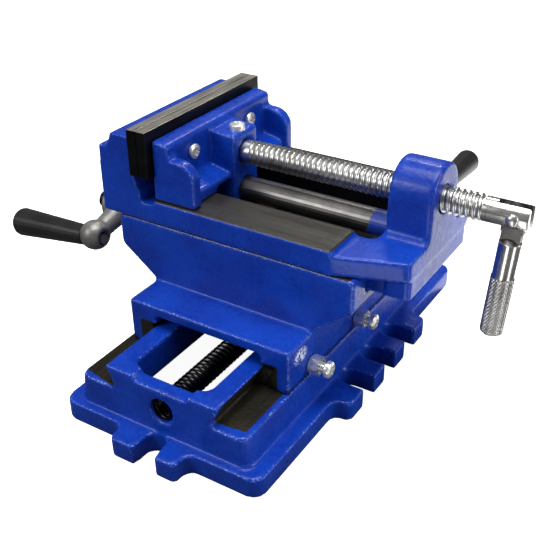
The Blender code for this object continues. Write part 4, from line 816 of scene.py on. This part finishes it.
def gib_fasteners():
    for prefix, axis in (("lower_gib", 0), ("upper_gib", 1)):
        for number in (1, 2, 3):
            screw = f"{prefix}_{number}_screw"
            nut = f"{prefix}_{number}_locknut"
            low, high = node_place(screw)
            nut_low, nut_high = node_place(nut)
            sense = 1 if nut_low[axis] + nut_high[axis] > low[axis] + high[axis] else -1
            out = Vector((0, 0, 0))
            out[axis] = sense
            tip = low if sense > 0 else high
            head_end = high if sense > 0 else low
            centre = (low + high) / 2
            length = abs(high[axis] - low[axis])
            start = centre.copy()
            start[axis] = tip[axis]
            head_height = 3 * MM
            shank = thread(start, out, length - head_height + 0.05 * MM, 1 * MM, GIB_SHANK_RADIUS,
                           GIB_SHANK_RADIUS - 0.35 * MM, 32, 8, 0.5)
            head_start = centre.copy()
            head_start[axis] = head_end[axis] - sense * head_height
            radius = min(high[2] - low[2], 2 * GIB_HEAD_RADIUS) / 2
            head = cross_recess_head(head_start, out, radius, head_height, 1.1 * MM)
            vertices, faces = joined(shank, head)
            place_mesh(screw + "_cut", vertices, faces, zinc, "saddle", "bright_steel", 40, (screw,))
            nut_start = (nut_low + nut_high) / 2
            nut_start[axis] = nut_low[axis] if sense > 0 else nut_high[axis]
            vertices, faces = hex_nut(nut_start, out, NUT_RADIUS, NUT_LENGTH, math.radians(18 + 6 * number))
            place_mesh(nut + "_cut", vertices, faces, nut_zinc, "saddle", "bright_steel", 25, (nut,))


def recess_screw(node, body, axis, sense, head_length, depth, flat=0.6):
    """Gives a CAD cross recess screw its domed head and recess, over its own shank."""
    low, high = node_place(node)
    centre = (low + high) / 2
    out = Vector((0, 0, 0))
    out[axis] = sense
    others = [i for i in range(3) if i != axis]
    radius = min(high[i] - low[i] for i in others) / 2
    tip = low if sense > 0 else high
    end = high if sense > 0 else low
    start = centre.copy()
    start[axis] = tip[axis]
    length = abs(high[axis] - low[axis])
    shank = lathe([(0, radius * 0.55), (length - head_length + 0.05 * MM, radius * 0.55)], start, out, 32)
    head_start = centre.copy()
    head_start[axis] = end[axis] - sense * head_length
    head = cross_recess_head(head_start, out, radius, head_length, depth, flat)
    vertices, faces = joined(shank, head)
    place_mesh(node + "_cut", vertices, faces, zinc, body, "bright_steel", 40, (node,))


def dress_cad():
    """Gives every CAD node its finish; the replaced ones aren't shown but keep theirs."""
    looks = {
        "fixed_jaw_plate": plate_black, "moving_jaw_plate": plate_black, "guide_rod": rod_steel,
        "base_grip": black_plastic, "cross_grip": black_plastic, "base_crank": grey_iron,
        "cross_crank": grey_iron, "base_nut": bronze, "cross_nut": bronze, "lower_gib": gib_steel,
        "upper_gib": gib_steel, "base_casting": enamel_base, "saddle_casting": enamel_base,
        "vise_body": enamel_upper, "moving_jaw": enamel_upper, "base_lead_screw": oiled_steel,
        "cross_lead_screw": oiled_steel, "jaw_screw": screw_steel, "swing_handle": handle_steel,
        "base_thrust_collar": gib_steel, "cross_thrust_collar": gib_steel,
        "base_grip_axle": grey_iron, "cross_grip_axle": grey_iron,
        "base_crank_pin": gib_steel, "cross_crank_pin": gib_steel,
    }
    for name, node in frame["nodes"].items():
        finish = looks.get(name, zinc)
        node.data.materials.clear()
        node.data.materials.append(finish)


def studio():
    """White floor, soft lights and the camera of the photo."""
    floor_mesh = bpy.data.meshes.new("floor")
    half = 6
    floor_mesh.from_pydata([(-half, -half, 0), (half, -half, 0), (half, half, 0), (-half, half, 0)], [],
                           [(0, 1, 2, 3)])
    floor = bpy.data.objects.new("floor", floor_mesh)
    bpy.context.scene.collection.objects.link(floor)
    white = bpy.data.materials.new("floor_white")
    white.use_nodes = True
    shader = white.node_tree.nodes["Principled BSDF"]
    shader.inputs["Base Color"].default_value = (0.9, 0.9, 0.9, 1)
    shader.inputs["Roughness"].default_value = 0.9
    shader.inputs["Specular IOR Level"].default_value = 0.1
    shader.inputs["Emission Color"].default_value = (1, 1, 1, 1)
    shader.inputs["Emission Strength"].default_value = 0.95
    tree = white.node_tree
    shade = tree.nodes.new("ShaderNodeBsdfDiffuse")
    shade.inputs["Color"].default_value = (0.1, 0.1, 0.1, 1)
    rays = tree.nodes.new("ShaderNodeLightPath")
    mixer = tree.nodes.new("ShaderNodeMixShader")
    output = next(n for n in tree.nodes if n.type == "OUTPUT_MATERIAL")
    tree.links.new(rays.outputs["Is Camera Ray"], mixer.inputs[0])
    tree.links.new(shade.outputs[0], mixer.inputs[1])
    tree.links.new(shader.outputs[0], mixer.inputs[2])
    tree.links.new(mixer.outputs[0], output.inputs["Surface"])
    floor_mesh.materials.append(white)

    for number, (turn, spread, reach, power) in enumerate(CARDS):
        glow = bpy.data.materials.new(f"card_white_{number}")
        glow.use_nodes = True
        glow_shader = next(n for n in glow.node_tree.nodes if n.type == "BSDF_PRINCIPLED")
        glow_shader.inputs["Emission Color"].default_value = (1, 1, 1, 1)
        glow_shader.inputs["Emission Strength"].default_value = power
        corners = [(CARD_APEX, 0, CARD_HEIGHT)]
        for side in (-1, 1):
            angle = math.radians(turn + side * spread)
            corners.append((CARD_APEX + reach * math.cos(angle), reach * math.sin(angle), CARD_HEIGHT))
        card_mesh = bpy.data.meshes.new(f"card_{number}")
        card_mesh.from_pydata(corners, [], [(0, 1, 2)])
        card_mesh.materials.append(glow)
        card = bpy.data.objects.new(f"card_{number}", card_mesh)
        bpy.context.scene.collection.objects.link(card)

    world = bpy.data.worlds.new("studio")
    bpy.context.scene.world = world
    world.use_nodes = True
    world.node_tree.nodes["Background"].inputs["Color"].default_value = (1, 1, 1, 1)
    world.node_tree.nodes["Background"].inputs["Strength"].default_value = 0.2

    target = Vector((0, 0, 0.06))
    for name, place, size, power in LAMPS:
        light = bpy.data.lights.new(name, "AREA")
        light.shape = "SQUARE"
        light.size = size
        light.energy = power
        lamp = bpy.data.objects.new(name, light)
        lamp.location = place
        lamp.rotation_euler = (target - Vector(place)).to_track_quat("-Z", "Y").to_euler()
        bpy.context.scene.collection.objects.link(lamp)

    camera_data = bpy.data.cameras.new("photo_camera")
    camera_data.sensor_width = 36
    camera_data.lens = 57.83
    camera_data.clip_start = 0.01
    camera = bpy.data.objects.new("photo_camera", camera_data)
    right = Vector((0.84888, 0.52849, -0.00991))
    up = Vector((-0.26414, 0.44036, 0.85808))
    back = Vector((0.45786, -0.72579, 0.51341))
    camera.matrix_world = (Matrix.Translation(Vector((0.21756, -0.34993, 0.29087)))
                           @ Matrix((right, up, back)).transposed().to_4x4())
    bpy.context.scene.collection.objects.link(camera)
    bpy.context.scene.camera = camera
    bpy.context.scene.view_settings.view_transform = "Standard"
    bpy.context.scene.view_settings.look = "None"


dress_cad()
castings()
lead_screw("base", "base_screw", "Y", BASE_SCREW_HEIGHT)
lead_screw("cross", "cross_screw", "X", CROSS_SCREW_HEIGHT)
jaw_screw()
handle_pin()
swing_handle()
gib_fasteners()
recess_screw("nose_retaining_screw", "moving_jaw", 2, 1, 3.4 * MM, 1.2 * MM, 0.8)
for number in (1, 2):
    recess_screw(f"fixed_plate_screw_{number}", "vise_body", 0, -1, 2 * MM, 1 * MM)
    recess_screw(f"moving_plate_screw_{number}", "moving_jaw", 0, 1, 2 * MM, 1 * MM)
studio()
